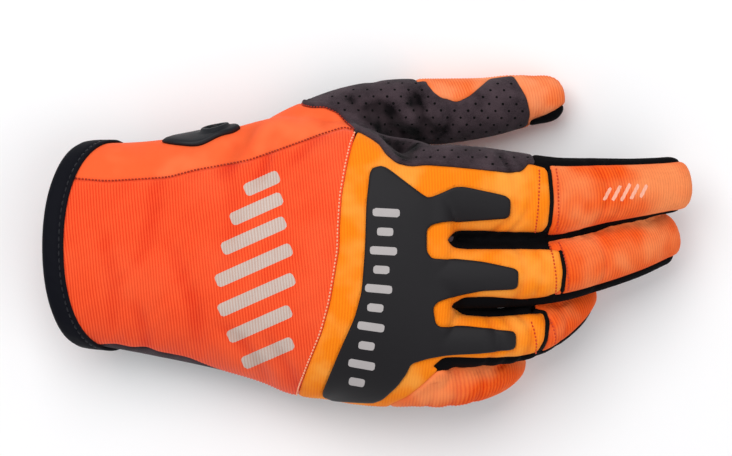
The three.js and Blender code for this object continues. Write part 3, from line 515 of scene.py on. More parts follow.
def finger_ring(frame_, shift, scale, sides):
    centre, along, side, up, half, rise, drop = frame_
    turn = 2 * math.pi * np.arange(sides) / sides
    across = power(np.cos(turn), FINGER_ROUNDNESS) * half * scale
    height = power(np.sin(turn), FINGER_ROUNDNESS) * np.where(np.sin(turn) > 0, rise, drop) * scale
    return centre + along * shift + across[:, None] * side + height[:, None] * up


def finger_rings(name, spans=70, sides=64):
    _, reach, squareness = FINGERS[name]
    rows = finger_table(name)
    rings = [finger_ring(finger_frame(rows, p), 0, 1, sides)
             for p in np.linspace(0, len(rows) - 1, spans + 1)]
    tip = finger_frame(rows, len(rows) - 1)
    for along, scale in rounded_end(8, squareness):
        rings.append(finger_ring(tip, along * reach, scale, sides))
    return rings


def skin(rings):
    """Vertices and faces over rings of points, closed at both ends."""
    around, count = len(rings[0]), len(rings)
    points = np.concatenate([*rings, rings[0].mean(0)[None], rings[-1].mean(0)[None]])
    j = np.arange(around)
    after = (j + 1) % around
    faces = []
    for k in range(count - 1):
        a, b = k * around + j, k * around + after
        faces += [np.stack([a, b, b + around], 1), np.stack([a, b + around, a + around], 1)]
    first, last = count * around, count * around + 1
    end = (count - 1) * around
    faces.append(np.stack([np.full(around, first), after, j], 1))
    faces.append(np.stack([np.full(around, last), end + j, end + after], 1))
    return points, outward(points, np.concatenate(faces))


def finger_coordinates(name, points):
    """Along, across and up a finger in millimetres, its sizes there, and how far out of it."""
    rows = finger_table(name)
    places = np.linspace(0, len(rows) - 1, LINE_STEPS)
    frames = [finger_frame(rows, p) for p in places]
    centre = np.array([f[0] for f in frames])
    along = np.array([f[1] for f in frames])
    side = np.array([f[2] for f in frames])
    up = np.array([f[3] for f in frames])
    size = np.array([f[4:] for f in frames])
    extra = np.arange(1, 30)[:, None] * 0.7
    centre = np.concatenate([centre, centre[-1] + extra * along[-1]])
    along, side, up, size = (np.concatenate([v, np.repeat(v[-1:], len(extra), 0)])
                             for v in (along, side, up, size))
    run = run_of(centre)
    nearest = np.empty(len(points), int)
    small = centre.astype(np.float32)
    for start in range(0, len(points), 20000):
        part = points[start:start + 20000].astype(np.float32)
        nearest[start:start + 20000] = ((part[:, None] - small[None]) ** 2).sum(2).argmin(1)
    ahead = ((points - centre[nearest]) * along[nearest]).sum(1)
    other = np.clip(nearest + np.where(ahead > 0, 1, -1), 0, len(centre) - 1)
    span = np.abs(run[other] - run[nearest])
    t = np.where(span > 0, np.clip(np.abs(ahead) / np.maximum(span, 1e-6), 0, 0.5), 0)[:, None]

    def between(v):
        return v[nearest] * (1 - t) + v[other] * t
    gap = points - between(centre)
    u = (gap * unit(between(side))).sum(1)
    v = (gap * unit(between(up))).sum(1)
    half, rise, drop = between(size).T
    out = np.sqrt((u / half) ** 2 + (v / np.where(v > 0, rise, drop)) ** 2)
    length = run[LINE_STEPS - 1]
    place = np.interp(run[nearest] + ahead, run[:LINE_STEPS], places)
    return {"s": run[nearest] + ahead, "u": u, "v": v, "half": half, "rise": rise, "drop": drop,
            "out": out, "length": length, "place": place}


# Cutting surfaces
def lone_corner_first(cut, above):
    """Turns triangles so that the corner alone on its side of the cut comes first."""
    lone = np.where(above.sum(1) == 1, above.argmax(1), (~above).argmax(1))
    return np.take_along_axis(cut, (lone[:, None] + np.arange(3)) % 3, 1)


def cut_edges(cut):
    """The two edges of each turned triangle that the cut crosses."""
    edges = np.concatenate([cut[:, [0, 1]], cut[:, [0, 2]]])
    edges.sort(axis=1)
    return edges


def part_way(v, a, b, t):
    """Values between two vertices each."""
    return v[a] + (v[b] - v[a]) * (t if v.ndim == 1 else t[:, None])


def parted(cut, new):
    """The three triangles that each cut one turns into, given its new vertices."""
    first, second = new[:len(cut)], new[len(cut):]
    return [np.stack([cut[:, 0], first, second], 1), np.stack([first, cut[:, 1], cut[:, 2]], 1),
            np.stack([first, cut[:, 2], second], 1)]


def split(points, faces, values, field):
    """Cuts triangles where the field is zero. Returns points, faces, values, field."""
    field = np.where(np.abs(field) < 1e-5, 1e-5, field)
    above = field[faces] > 0
    count = above.sum(1)
    mixed = (count == 1) | (count == 2)
    cut = lone_corner_first(faces[mixed], above[mixed])
    unique, inverse = np.unique(cut_edges(cut), axis=0, return_inverse=True)
    a, b = unique.T
    t = field[a] / (field[a] - field[b])
    faces = np.concatenate([faces[~mixed], *parted(cut, len(points) + inverse.reshape(-1))])
    points = np.concatenate([points, part_way(points, a, b, t)])
    values = {key: np.concatenate([v, part_way(v, a, b, t)]) for key, v in values.items()}
    return points, faces, values, np.concatenate([field, np.zeros(len(unique))])


def compact(points, faces, values):
    used, faces = np.unique(faces, return_inverse=True)
    return points[used], faces.reshape(-1, 3), {key: v[used] for key, v in values.items()}


def kept(points, faces, values, field):
    """The part of a surface where the field is positive, cut cleanly at its edge."""
    points, faces, values, field = split(points, faces, values, field)
    return compact(points, faces[field[faces].max(1) > 1e-9], values)


def rib_lines(points, faces, values, phase):
    """Adds vertices where the phase is whole, so that ribs have crests and valleys."""
    for _ in range(8):
        level = np.floor(phase[faces].min(1) + 1e-6) + 1
        crosses = phase[faces].max(1) > level + 1e-6
        if not crosses.any():
            break
        cut, at = faces[crosses], level[crosses]
        above = phase[cut] > at[:, None] + 1e-9
        # a corner on the line itself counts as above
        above |= np.abs(phase[cut] - at[:, None]) <= 1e-6
        cut = lone_corner_first(cut, above)
        keys = np.concatenate([cut_edges(cut), np.tile(at, 2)[:, None].astype(int)], axis=1)
        unique, inverse = np.unique(keys, axis=0, return_inverse=True)
        a, b, whole = unique.T
        t = np.clip((whole - phase[a]) / (phase[b] - phase[a]), 0, 1)
        faces = np.concatenate([faces[~crosses], *parted(cut, len(points) + inverse.reshape(-1))])
        points = np.concatenate([points, part_way(points, a, b, t)])
        values = {key: np.concatenate([v, part_way(v, a, b, t)]) for key, v in values.items()}
        phase = np.concatenate([phase, whole.astype(float)])
    return welded(points, faces, values)


def welded(points, faces, values):
    _, first, inverse = np.unique(np.round(points, 4), axis=0, return_index=True,
                                  return_inverse=True)
    faces = inverse.reshape(-1)[faces]
    good = ((faces[:, 0] != faces[:, 1]) & (faces[:, 1] != faces[:, 2])
            & (faces[:, 2] != faces[:, 0]))
    return points[first], faces[good], {key: v[first] for key, v in values.items()}


def all_edges(faces):
    return np.concatenate([faces[:, [0, 1]], faces[:, [1, 2]], faces[:, [2, 0]]])


def edge_loops(faces):
    """Directed edges on the border of a surface."""
    edges = all_edges(faces)
    ordered = np.sort(edges, axis=1)
    _, index, counts = np.unique(ordered, axis=0, return_index=True, return_counts=True)
    return edges[index[counts == 1]]


def thick(points, faces, values, normals, top, depth):
    """A closed sheet: the surface raised by top, its underside by depth below it."""
    count = len(points)
    border = edge_loops(faces)
    a, b = border.T
    outer = points + normals * np.asarray(top).reshape(-1, 1)
    inner = points - normals * np.asarray(depth).reshape(-1, 1)
    faces = np.concatenate([faces, faces[:, ::-1] + count, np.stack([b, a, a + count], 1),
                            np.stack([b, a + count, b + count], 1)])
    values = {key: np.concatenate([v, v]) for key, v in values.items()}
    values["outer"] = np.concatenate([np.ones(count), np.zeros(count)])
    return np.concatenate([outer, inner]), faces, values


# Base surface
def mesh_object(name, points, faces, millimetres=True):
    mesh = bpy.data.meshes.new(name)
    scale = MM if millimetres else 1
    mesh.from_pydata((np.asarray(points) * scale).tolist(), [], np.asarray(faces).tolist())
    mesh.update()
    made = bpy.data.objects.new(name, mesh)
    bpy.context.scene.collection.objects.link(made)
    return made


def arrays(obj):
    """Points in millimetres and triangles of an object with its modifiers applied."""
    graph = bpy.context.evaluated_depsgraph_get()
    mesh = bpy.data.meshes.new_from_object(obj.evaluated_get(graph), depsgraph=graph)
    points = np.empty(len(mesh.vertices) * 3, np.float32)
    mesh.vertices.foreach_get("co", points)
    mesh.calc_loop_triangles()
    faces = np.empty(len(mesh.loop_triangles) * 3, np.int32)
    mesh.loop_triangles.foreach_get("vertices", faces)
    bpy.data.meshes.remove(mesh)
    return points.reshape(-1, 3).astype(float) / MM, faces.reshape(-1, 3).astype(int)


def removed(obj):
    mesh = obj.data
    bpy.data.objects.remove(obj)
    bpy.data.meshes.remove(mesh)


def vertex_normals(points, faces):
    a, b, c = (points[faces[:, k]] for k in range(3))
    face = np.cross(b - a, c - a)
    total = np.zeros_like(points)
    for k in range(3):
        np.add.at(total, faces[:, k], face)
    return unit(total)


def relaxed(points, faces, rounds):
    """Smoothing that keeps the volume, a shrinking and a growing step by turns."""
    edges = all_edges(faces)
    edges = np.concatenate([edges, edges[:, ::-1]])
    count = np.bincount(edges[:, 0], minlength=len(points)).astype(float)[:, None]
    for k in range(rounds):
        total = np.stack([np.bincount(edges[:, 0], weights=points[edges[:, 1], j],
                                      minlength=len(points)) for j in range(3)], axis=1)
        points = points + (SHRINK if k % 2 == 0 else GROW) * (total / count - points)
    return points


def hand_wrinkles(points, normals):
    """Fine folds: x, y, side (1 back, -1 palm), angle, length, width, depth."""
    moved = np.zeros(len(points))
    for x, y, side, angle, length, width, depth in WRINKLES:
        turn = math.radians(angle)
        gap = points[:, :2] - (x, y)
        along = gap @ (math.cos(turn), math.sin(turn))
        across = gap @ (-math.sin(turn), math.cos(turn))
        bow = across - 0.012 * along ** 2 * (1 if depth > 0 else -1) * 0.5
        shape = np.exp(-(along / length) ** 4 - (bow / width) ** 2)
        # a fold stands beside its own hollow
        beside = 0.45 * np.exp(-(along / length) ** 4 - ((bow - 2.1 * width) / width) ** 2)
        faces_it = np.clip(side * normals[:, 2] * 2.5, 0, 1)
        moved -= depth * (shape - beside) * faces_it
    return moved


def joint_wrinkles(coordinates, normals):
    """Folds across the fingers at the joints and on their undersides."""
    moved = np.zeros(len(normals))
    for finger, share, depth, width, side in JOINT_WRINKLES:
        c = coordinates[finger]
        near = (c["out"] < 1.25) & (c["s"] > 0)
        bow = c["s"] - share * c["length"] + 0.03 * c["u"] ** 2 - 0.04 * c["u"]
        facing = np.clip(side * c["v"] / c["rise"] * 1.6 + 0.1, 0, 1)
        moved -= np.where(near, depth * np.exp(-(bow / width) ** 2) * facing, 0)
    return moved


class Base:
    """The glove's smooth outer surface with what each seam needs to know of it."""

    def __init__(self):
        points, faces = [], []
        shift = 0
        for rings in [hand_rings(), *(finger_rings(name) for name in FINGERS)]:
            p, f = skin(rings)
            points.append(p)
            faces.append(f + shift)
            shift += len(p)
        blank = mesh_object("blank", np.concatenate(points), np.concatenate(faces))
        remesh = blank.modifiers.new("union", "REMESH")
        remesh.mode = "VOXEL"
        remesh.voxel_size = VOXEL * MM
        points, faces = arrays(blank)
        removed(blank)
        points = relaxed(points, faces, 14)
        normals = vertex_normals(points, faces)
        coordinates = {name: finger_coordinates(name, points) for name in FINGERS}
        moved = hand_wrinkles(points, normals) + joint_wrinkles(coordinates, normals)
        points = points + normals * moved[:, None]
        points[:, 2] = np.maximum(points[:, 2], 0)
        points = relaxed(points, faces, 2)
        points[:, 2] = np.maximum(points[:, 2], 0)
        # the wrinkles' depth goes along as the fold attribute, from which the finishes paint shade
        # in the hollows
        points, faces, values = kept(points, faces, {"fold": moved}, -past_cuff(points))
        self.points, self.faces, self.fold = points, faces, values["fold"]
        self.normals = vertex_normals(points, faces)
        self.coordinates = {name: finger_coordinates(name, points) for name in FINGERS}
        self.outlines = {name: outline_distance(smooth_outline(line), points)
                         for name, line in OUTLINES.items()}
        self.over_seam = points[:, 2] - seam_height(points)
        self.tree = BVHTree.FromPolygons((points * MM).tolist(), faces.tolist())
        outs = np.stack([self.coordinates[name]["out"] for name in FINGERS])
        self.own = {}
        for k, name in enumerate(FINGERS):
            others = np.delete(outs, k, axis=0).min(0)
            self.own[name] = (others - outs[k]) * 8 + 0.4

    def strip(self, finger, name):
        """Distance field of one strip of a finger, positive inside it."""
        low, high, floor, tip_floor, ceiling, first = FINGER_STRIPS[finger][name]
        c = self.coordinates[finger]
        rows = finger_table(finger)
        last = len(rows) - 1
        late = np.clip((c["place"] / last - 0.75) / 0.25, 0, 1)
        under = np.where(floor < 0, floor * c["drop"], floor * c["rise"])
        under = under + (tip_floor - floor) * late * c["drop"]
        bottom = c["v"] - under
        left, right = c["u"] - low * c["half"], high * c["half"] - c["u"]
        top = ceiling * c["rise"] - c["v"]
        places = np.linspace(0, last, LINE_STEPS)
        centre = np.array([row_at(rows, p)[:3] for p in places])
        run = run_of(centre)
        start = c["s"] - np.interp(first, places, run)
        shell_out = (1.3 - c["out"]) * c["half"]
        return np.minimum.reduce([bottom, left, right, top, start, shell_out, self.own[finger]])


def gap_fields(base):
    """How far inside its panel each point lies. The first panels in the list are cut first."""
    over, lines, strip = base.over_seam, base.outlines, base.strip
    coordinates = base.coordinates

    def side(finger, sign):
        return sign * coordinates[finger]["u"]
    gussets = {
        "gusset_index_outer": strip("index", "outer"),
        "gusset_index_middle": np.maximum(strip("index", "inner"),
                                          np.minimum(strip("middle", "sides"), side("middle", 1))),
        "gusset_middle_ring": np.maximum(np.minimum(strip("middle", "sides"), side("middle", -1)),
                                         np.minimum(strip("ring", "sides"), side("ring", 1))),
        "gusset_ring_little": np.maximum(np.minimum(strip("ring", "sides"), side("ring", -1)),
                                         strip("little", "sides")),
    }
    own = {
        "knuckle_panel": np.minimum(lines["knuckle"], over),
        "index_flex": np.minimum(lines["index_flex"], over),
        "middle_flex": np.minimum(lines["middle_flex"], over),
        "ring_flex": np.minimum(lines["ring_flex"], over),
        "side_panel": np.minimum(lines["side"], over),
        "back_panel": np.minimum(lines["back"], over),
        "index_back": strip("index", "back"),
        "middle_back": strip("middle", "back"),
        "ring_back": strip("ring", "back"),
        "little_back": np.maximum(strip("little", "back"),
                                  np.minimum(lines["little_back"], over)),
        "thumb_gusset": np.minimum(lines["thumb_gusset"], strip("thumb", "gusset")),
        "thumb_back": np.maximum(strip("thumb", "back"),
                                 np.minimum(lines["thumb_back"], strip("thumb", "sleeve"))),
    }
    inside, taken = {}, np.full(len(base.points), FAR)
    for name, field in own.items():
        inside[name] = np.minimum(field, -taken) - SEAM_GAP / 2
        taken = np.maximum(taken, field)
    for name, field in gussets.items():
        inside[name] = np.minimum(field, -taken) - SEAM_GAP / 2
    for field in gussets.values():
        taken = np.maximum(taken, field)
    inside["palm"] = -taken - SEAM_GAP / 2
    return inside


def without_scraps(points, faces, values, least):
    """Leaves out loose bits of a panel with fewer triangles than the least."""
    group = np.arange(len(points))
    while True:
        low = group[faces].min(1)
        before = group.copy()
        for k in range(3):
            np.minimum.at(group, faces[:, k], low)
        group = group[group]
        if (group == before).all():
            break
    counts = np.bincount(group[faces[:, 0]], minlength=len(points))
    return compact(points, faces[counts[group[faces[:, 0]]] >= least], values)


def bar_field(points, bars):
    """Rounded bars seen from above, positive inside them."""
    best = np.full(len(points), FAR)
    for x, y, length, width, angle in bars:
        turn = math.radians(angle)
        gap = points[:, :2] - (x, y)
        a = np.abs(gap @ (math.cos(turn), math.sin(turn)))
        b = np.abs(gap @ (-math.sin(turn), math.cos(turn)))
        corner = width * 0.3
        out = np.hypot(np.maximum(a - length / 2 + corner, 0),
                       np.maximum(b - width / 2 + corner, 0))
        inner = np.minimum(np.maximum(a - length / 2 + corner, b - width / 2 + corner), 0)
        best = np.maximum(best, corner - out - inner)
    return best


# Pieces
def linear(code):
    """A hex colour, from sRGB to linear."""
    parts = [int(code[k:k + 2], 16) / 255 for k in (1, 3, 5)]
    return (*(c / 12.92 if c <= 0.04045 else ((c + 0.055) / 1.055) ** 2.4 for c in parts), 1.0)


def add(tree, kind, settings=None, inputs=None):
    """Adds a node with its settings, and its inputs as values or links."""
    made = tree.nodes.new(kind)
    for key, value in (settings or {}).items():
        setattr(made, key, value)
    for key, value in (inputs or {}).items():
        if isinstance(value, bpy.types.NodeSocket):
            tree.links.new(value, made.inputs[key])
        else:
            made.inputs[key].default_value = value
    return made


def shaded(name, colour, deep=None, roughness=0.8, sheen=0.0, grain=0.35, bump=0.05,
           mottle=0.12, patch=6.0, weave=0.0, specular=0.2, light=None, highlight_share=0.0):
    """Procedural finish. grain, bump, patch and weave are in millimetres. Random specks and clouds,
    painted shade in the rib valleys and painted shade in fold hollows mix the colour towards deep,
    or towards a darker copy of it when deep is not given. Patches three times as wide as patch are
    mixed towards the light colour, by the share given after it, as painted sheen highlights."""
    material = bpy.data.materials.get(name)
    if material:
        return material
    material = bpy.data.materials.new(name)
    material.use_nodes = True
    tree = material.node_tree
    shader = tree.nodes["Principled BSDF"]
    place = add(tree, "ShaderNodeTexCoord").outputs["Object"]
    fine = add(tree, "ShaderNodeTexNoise", None,
               {"Vector": place, "Scale": 1 / (grain * MM), "Detail": 3.0, "Roughness": 0.6})
    wide = add(tree, "ShaderNodeTexNoise", None,
               {"Vector": place, "Scale": 1 / (patch * MM), "Detail": 4.0, "Roughness": 0.6})
    base, dark = linear(colour), linear(deep or colour)
    if not deep:
        dark = (*(c * 0.45 for c in base[:3]), 1.0)

    def ranged(source, low, high, start, end, settings=None):
        return add(tree, "ShaderNodeMapRange", settings,
                   {"Value": source.outputs["Fac"], "From Min": low, "From Max": high,
                    "To Min": start, "To Max": end}).outputs["Result"]
    rib = add(tree, "ShaderNodeAttribute", {"attribute_name": "rib"})
    # painted shade: where a deep colour is given, the rib valleys are mixed towards it and the
    # crests stay bright
    rib_valley_shade = ranged(rib, -1.0, 0.6, 0.75 if deep else 0.0, 0.0)
    cloudy = ranged(wide, 0.35, 0.75, 0.0, mottle)
    speck = ranged(fine, 0.35, 0.7, 0.0, mottle)
    fold = add(tree, "ShaderNodeAttribute", {"attribute_name": "fold"})
    # painted shade: deep fold hollows, read from the fold attribute, are mixed towards the dark
    # colour
    hollow = ranged(fold, -0.15, -2.2, 0.0, 0.92 if deep else 0.4)
    blotched = add(tree, "ShaderNodeMath", {"operation": "ADD"}, {0: cloudy, 1: speck})
    total = add(tree, "ShaderNodeMath", {"operation": "ADD"}, {0: blotched.outputs[0], 1: hollow})
    share = add(tree, "ShaderNodeMath", {"operation": "ADD", "use_clamp": True},
                {0: total.outputs[0], 1: rib_valley_shade})
    mix = add(tree, "ShaderNodeMix", {"data_type": "RGBA"}, {"Factor": share.outputs[0]})
    mix.inputs[6].default_value, mix.inputs[7].default_value = base, dark
    shown = mix.outputs[2]
    # painted sheen highlights: broad patches are mixed towards the light colour by the given share
    if light:
        broad = add(tree, "ShaderNodeTexNoise", None,
                    {"Vector": place, "Scale": 1 / (3 * patch * MM), "Detail": 2.0})
        painted_highlight = ranged(broad, 0.4, 0.72, 0.0, highlight_share, {"interpolation_type": "SMOOTHSTEP"})
        pale = add(tree, "ShaderNodeMix", {"data_type": "RGBA"}, {"Factor": painted_highlight})
        pale.inputs[7].default_value = linear(light)
        tree.links.new(shown, pale.inputs[6])
        shown = pale.outputs[2]
    tree.links.new(shown, shader.inputs["Base Color"])
    height = fine.outputs["Fac"]
    if weave:
        threads = add(tree, "ShaderNodeTexWave",
                      {"wave_type": "BANDS", "bands_direction": "DIAGONAL"},
                      {"Vector": place, "Scale": 0.05 / (weave * MM), "Distortion": 1.5,
                       "Detail": 1.0})
        height = add(tree, "ShaderNodeMath", {"operation": "ADD"},
                     {0: threads.outputs["Fac"], 1: fine.outputs["Fac"]}).outputs[0]
    relief = add(tree, "ShaderNodeBump", None,
                 {"Height": height, "Strength": 1.0, "Distance": bump * MM})
    tree.links.new(relief.outputs["Normal"], shader.inputs["Normal"])
    shader.inputs["Roughness"].default_value = roughness
    shader.inputs["Specular IOR Level"].default_value = specular
    shader.inputs["Sheen Weight"].default_value = sheen
    shader.inputs["Sheen Roughness"].default_value = 0.5
    return material


def finishes():
    """Each finish by the cloth, leather or rubber it stands for."""
    return {
        # red-orange knitted stretch cloth, its ribs lit on the crests and deep red between, with
        # painted sheen highlights in broad patches
        "back": shaded("ribbed_polyester_red", "#FF5C2A", "#DC2A04", 0.8, 0.1, 0.3, 0.05, 0.1,
                       9.0, 0.0, 0.2, "#FF7444", 0.2),
        # plain lighter stretch cloth on the thumb side, with painted sheen highlights in broad
        # patches
        "side": shaded("smooth_polyester_orange", "#FF6432", None, 0.75, 0.02, 0.3, 0.04, 0.06,
                       6.0, 0.0, 0.1, "#FF8550", 0.4),
        # yellow-orange padded knit over the knuckles, painted shade in the rib valleys hardly
        # darker than the crests, and painted highlights in broad patches
        "knuckle": shaded("ribbed_polyester_yellow", "#FF8E0E", "#EC6A04", 0.8, 0.03, 0.3, 0.05,
                          0.1, 5.0, 0.0, 0.12, "#FFB450", 0.5),
        # ribbed cloth on the fingers, painted shade in the rib valleys and painted sheen highlights
        # in broad pale patches
        "finger": shaded("ribbed_polyester_orange", "#FA641C", "#DC3A04", 0.8, 0.02, 0.3, 0.05,
                         0.14, 8.0, 0.0, 0.1, "#FFAE70", 0.55),
        # the same cloth on the thumb, paler all over, with painted sheen highlights in broad
        # patches
        "thumb": shaded("ribbed_polyester_pale", "#FF7E3C", "#E65010", 0.8, 0.02, 0.3, 0.05,
                        0.12, 6.0, 0.0, 0.1, "#FFB482", 0.5),
        # napped dark suede, blotchy in random tone, with painted highlights in broad patches and
        # near-black painted shade in its folds
        "suede": shaded("dark_synthetic_suede", "#52444A", "#060406", 0.95, 0.06, 0.4, 0.3,
                        0.26, 3.5, 0.0, 0.05, "#68565C", 0.3),
        # dull black rubber with a fine grained skin
        "rubber": shaded("matte_black_rubber", "#171518", None, 0.6, 0.0, 0.25, 0.03, 0.1,
                         4.0, 0.0, 0.25),
        # tight black stretch cloth between the fingers
        "black": shaded("black_stretch_cloth", "#0A090B", None, 0.9, 0.0, 0.3, 0.08, 0.2, 6.0,
                        0.0, 0.06),
        # near-black blue elastic binding and moulded tab
        "binding": shaded("blue_black_elastic", "#090A13", None, 0.7, 0.02, 0.3, 0.06, 0.2, 3.0,
                          0.5, 0.1),
        "tab": shaded("moulded_blue_black_rubber", "#0E1016", None, 0.5, 0.0, 0.3, 0.03, 0.1,
                      3.0, 0.0, 0.3),
        # shadowed slits that let the knuckles bend
        "slit": shaded("flat_black_mesh", "#050406", None, 0.95, 0.0, 0.4, 0.1, 0.2),
        # screen printed ink, pale and slightly pink where the cloth shows through
        "print": shaded("pale_screen_print", "#D0C2B8", "#C09C8E", 0.7, 0.0, 0.3, 0.02, 0.12),
        "pink_print": shaded("pink_screen_print", "#FFB79C", None, 0.7, 0.0, 0.3, 0.02, 0.1),
        "grey_print": shaded("grey_moulded_print", "#B4AEAD", None, 0.6, 0.0, 0.3, 0.02, 0.1),
        # polyester sewing thread
        "thread": shaded("pale_orange_thread", "#FFB890", None, 0.6, 0.2, 0.2, 0.03, 0.2, 2.0),
        "orange_thread": shaded("burnt_orange_thread", "#D43C04", None, 0.6, 0.2, 0.2, 0.03,
                                0.2, 2.0),
        "red_thread": shaded("dark_red_thread", "#A82E12", None, 0.6, 0.1, 0.2, 0.03, 0.2, 2.0),
        "dark_thread": shaded("black_thread", "#16161E", None, 0.6, 0.2, 0.2, 0.03, 0.2, 2.0),
        # punched hole, seen as a dark dot
        "hole": shaded("punched_hole", "#040304", None, 1.0, 0.0, 0.3, 0.01, 0.05),
    }


def made(name, points, faces, materials, values=None, slots=None):
    """A piece in its place in the frame, with its values kept as attributes."""
    piece = mesh_object(name, np.asarray(points) + MIDDLE, faces)
    mesh = piece.data
    for material in materials:
        mesh.materials.append(material)
    mesh.polygons.foreach_set("use_smooth", np.ones(len(mesh.polygons), bool))
    for key, value in (values or {}).items():
        kind, slot_ = ("FLOAT", "value") if np.ndim(value) == 1 else ("FLOAT_VECTOR", "vector")
        layer = mesh.attributes.new(key, kind, "POINT")
        layer.data.foreach_set(slot_, np.asarray(value, np.float32).ravel())
    if slots is not None:
        mesh.polygons.foreach_set("material_index", np.asarray(slots, np.int32))
        printed = mesh.attributes.new("printed", "BOOLEAN", "FACE")
        printed.data.foreach_set("value", np.asarray(slots, bool))
    return piece


def handed_over(piece, slot_, *nodes):
    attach(piece, "root")
    if nodes:
        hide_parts(*nodes)


def through(piece, tree, values):
    """Runs a node tree over a piece and keeps what comes out as its plain mesh."""
    modifier = piece.modifiers.new(tree.name, "NODES")
    modifier.node_group = tree
    for item in tree.interface.items_tree:
        if item.item_type == "SOCKET" and item.in_out == "INPUT" and item.name in values:
            modifier[item.identifier] = values[item.name]
    plain(piece, modifier)


def plain(piece, modifier):
    """Keeps what a modifier makes as the piece's own mesh."""
    graph = bpy.context.evaluated_depsgraph_get()
    mesh = bpy.data.meshes.new_from_object(piece.evaluated_get(graph), depsgraph=graph)
    piece.modifiers.remove(modifier)
    old, name = piece.data, piece.data.name
    piece.data = mesh
    bpy.data.meshes.remove(old)
    mesh.name = name


def thinned(piece, most):
    """Fewer triangles on the lining side of a large piece, which has no ribs or print."""
    count = len(piece.data.polygons)
    if count <= most:
        return
    outer = np.empty(len(piece.data.vertices), np.float32)
    piece.data.attributes["outer"].data.foreach_get("value", outer)
    lining = piece.vertex_groups.new(name="lining")
    lining.add(np.where(outer < 0.5)[0].tolist(), 1.0, "REPLACE")
    fewer = piece.modifiers.new("fewer", "DECIMATE")
    fewer.ratio = most / count
    fewer.vertex_group = lining.name
    fewer.vertex_group_factor = 1000
    plain(piece, fewer)
    piece.vertex_groups.clear()


def node_tree(name, sockets):
    tree = bpy.data.node_groups.new(name, "GeometryNodeTree")
    tree.interface.new_socket("Geometry", in_out="INPUT", socket_type="NodeSocketGeometry")
    for label, kind in sockets:
        tree.interface.new_socket(label, in_out="INPUT", socket_type=kind)
    tree.interface.new_socket("Geometry", in_out="OUTPUT", socket_type="NodeSocketGeometry")
    return tree, tree.nodes.new("NodeGroupInput").outputs


def rib_tree():
    """Raises the ribs of a knitted panel along its normals and gives cloth and print."""
    if "raised_ribs" in bpy.data.node_groups:
        return bpy.data.node_groups["raised_ribs"]
    tree, given = node_tree("raised_ribs", [("Height", "NodeSocketFloat"),
                                            ("Cloth", "NodeSocketMaterial"),
                                            ("Print", "NodeSocketMaterial")])
    rib = add(tree, "GeometryNodeInputNamedAttribute", {"data_type": "FLOAT"}, {"Name": "rib"})
    lift = add(tree, "ShaderNodeMath", {"operation": "MULTIPLY"},
               {0: rib.outputs["Attribute"], 1: given["Height"]})
    normal = add(tree, "GeometryNodeInputNamedAttribute", {"data_type": "FLOAT_VECTOR"},
                 {"Name": "out"})
    offset = add(tree, "ShaderNodeVectorMath", {"operation": "SCALE"},
                 {0: normal.outputs["Attribute"], "Scale": lift.outputs[0]})
    raised = add(tree, "GeometryNodeSetPosition", None,
                 {"Geometry": given["Geometry"], "Offset": offset.outputs[0]})
    whole = add(tree, "GeometryNodeRealizeInstances", None,
                {"Geometry": raised.outputs["Geometry"]})
    printed = add(tree, "GeometryNodeInputNamedAttribute", {"data_type": "BOOLEAN"},
                  {"Name": "printed"})
    cloth = add(tree, "GeometryNodeSetMaterial", None,
                {"Geometry": whole.outputs["Geometry"], "Material": given["Cloth"]})
    inked = add(tree, "GeometryNodeSetMaterial", None,
                {"Geometry": cloth.outputs["Geometry"], "Selection": printed.outputs["Attribute"],
                 "Material": given["Print"]})
    add(tree, "NodeGroupOutput", None, {"Geometry": inked.outputs["Geometry"]})
    return tree


def copies_tree(name, hole):
    """Sets a small shape, a stitch or a hole's dark disc, on every point of a path or grid."""
    if name in bpy.data.node_groups:
        return bpy.data.node_groups[name]
    tree, given = node_tree(name, [("Length", "NodeSocketFloat"), ("Width", "NodeSocketFloat"),
                                   ("Height", "NodeSocketFloat"), ("Seed", "NodeSocketInt"),
                                   ("Material", "NodeSocketMaterial")])
    if hole:
        shape = add(tree, "GeometryNodeMeshCylinder", None,
                    {"Vertices": 10, "Radius": 0.5, "Depth": 1.0})
    else:
        shape = add(tree, "GeometryNodeMeshUVSphere", None,
                    {"Segments": 8, "Rings": 5, "Radius": 0.5})
    size = add(tree, "ShaderNodeCombineXYZ", None,
               {"X": given["Length"], "Y": given["Width"], "Z": given["Height"]})
    along, up = (add(tree, "GeometryNodeInputNamedAttribute", {"data_type": "FLOAT_VECTOR"},
                     {"Name": key}) for key in ("along", "up"))
    turned = add(tree, "FunctionNodeAxesToRotation", {"primary_axis": "Z", "secondary_axis": "X"},
                 {"Primary Axis": up.outputs["Attribute"],
                  "Secondary Axis": along.outputs["Attribute"]})
    vary = add(tree, "FunctionNodeRandomValue", {"data_type": "FLOAT"},
               {2: 0.92, 3: 1.06, "Seed": given["Seed"]})
    scaled = add(tree, "ShaderNodeVectorMath", {"operation": "SCALE"},
                 {0: size.outputs[0], "Scale": vary.outputs[1]})
    copies = add(tree, "GeometryNodeInstanceOnPoints", None,
                 {"Points": given["Geometry"], "Instance": shape.outputs["Mesh"],
                  "Rotation": turned.outputs[0], "Scale": scaled.outputs[0]})
    whole = add(tree, "GeometryNodeRealizeInstances", None,
                {"Geometry": copies.outputs["Instances"]})
    soft = add(tree, "GeometryNodeSetShadeSmooth", None, {"Geometry": whole.outputs["Geometry"]})
    dressed = add(tree, "GeometryNodeSetMaterial", None,
                  {"Geometry": soft.outputs["Geometry"], "Material": given["Material"]})
    add(tree, "NodeGroupOutput", None, {"Geometry": dressed.outputs["Geometry"]})
    return tree


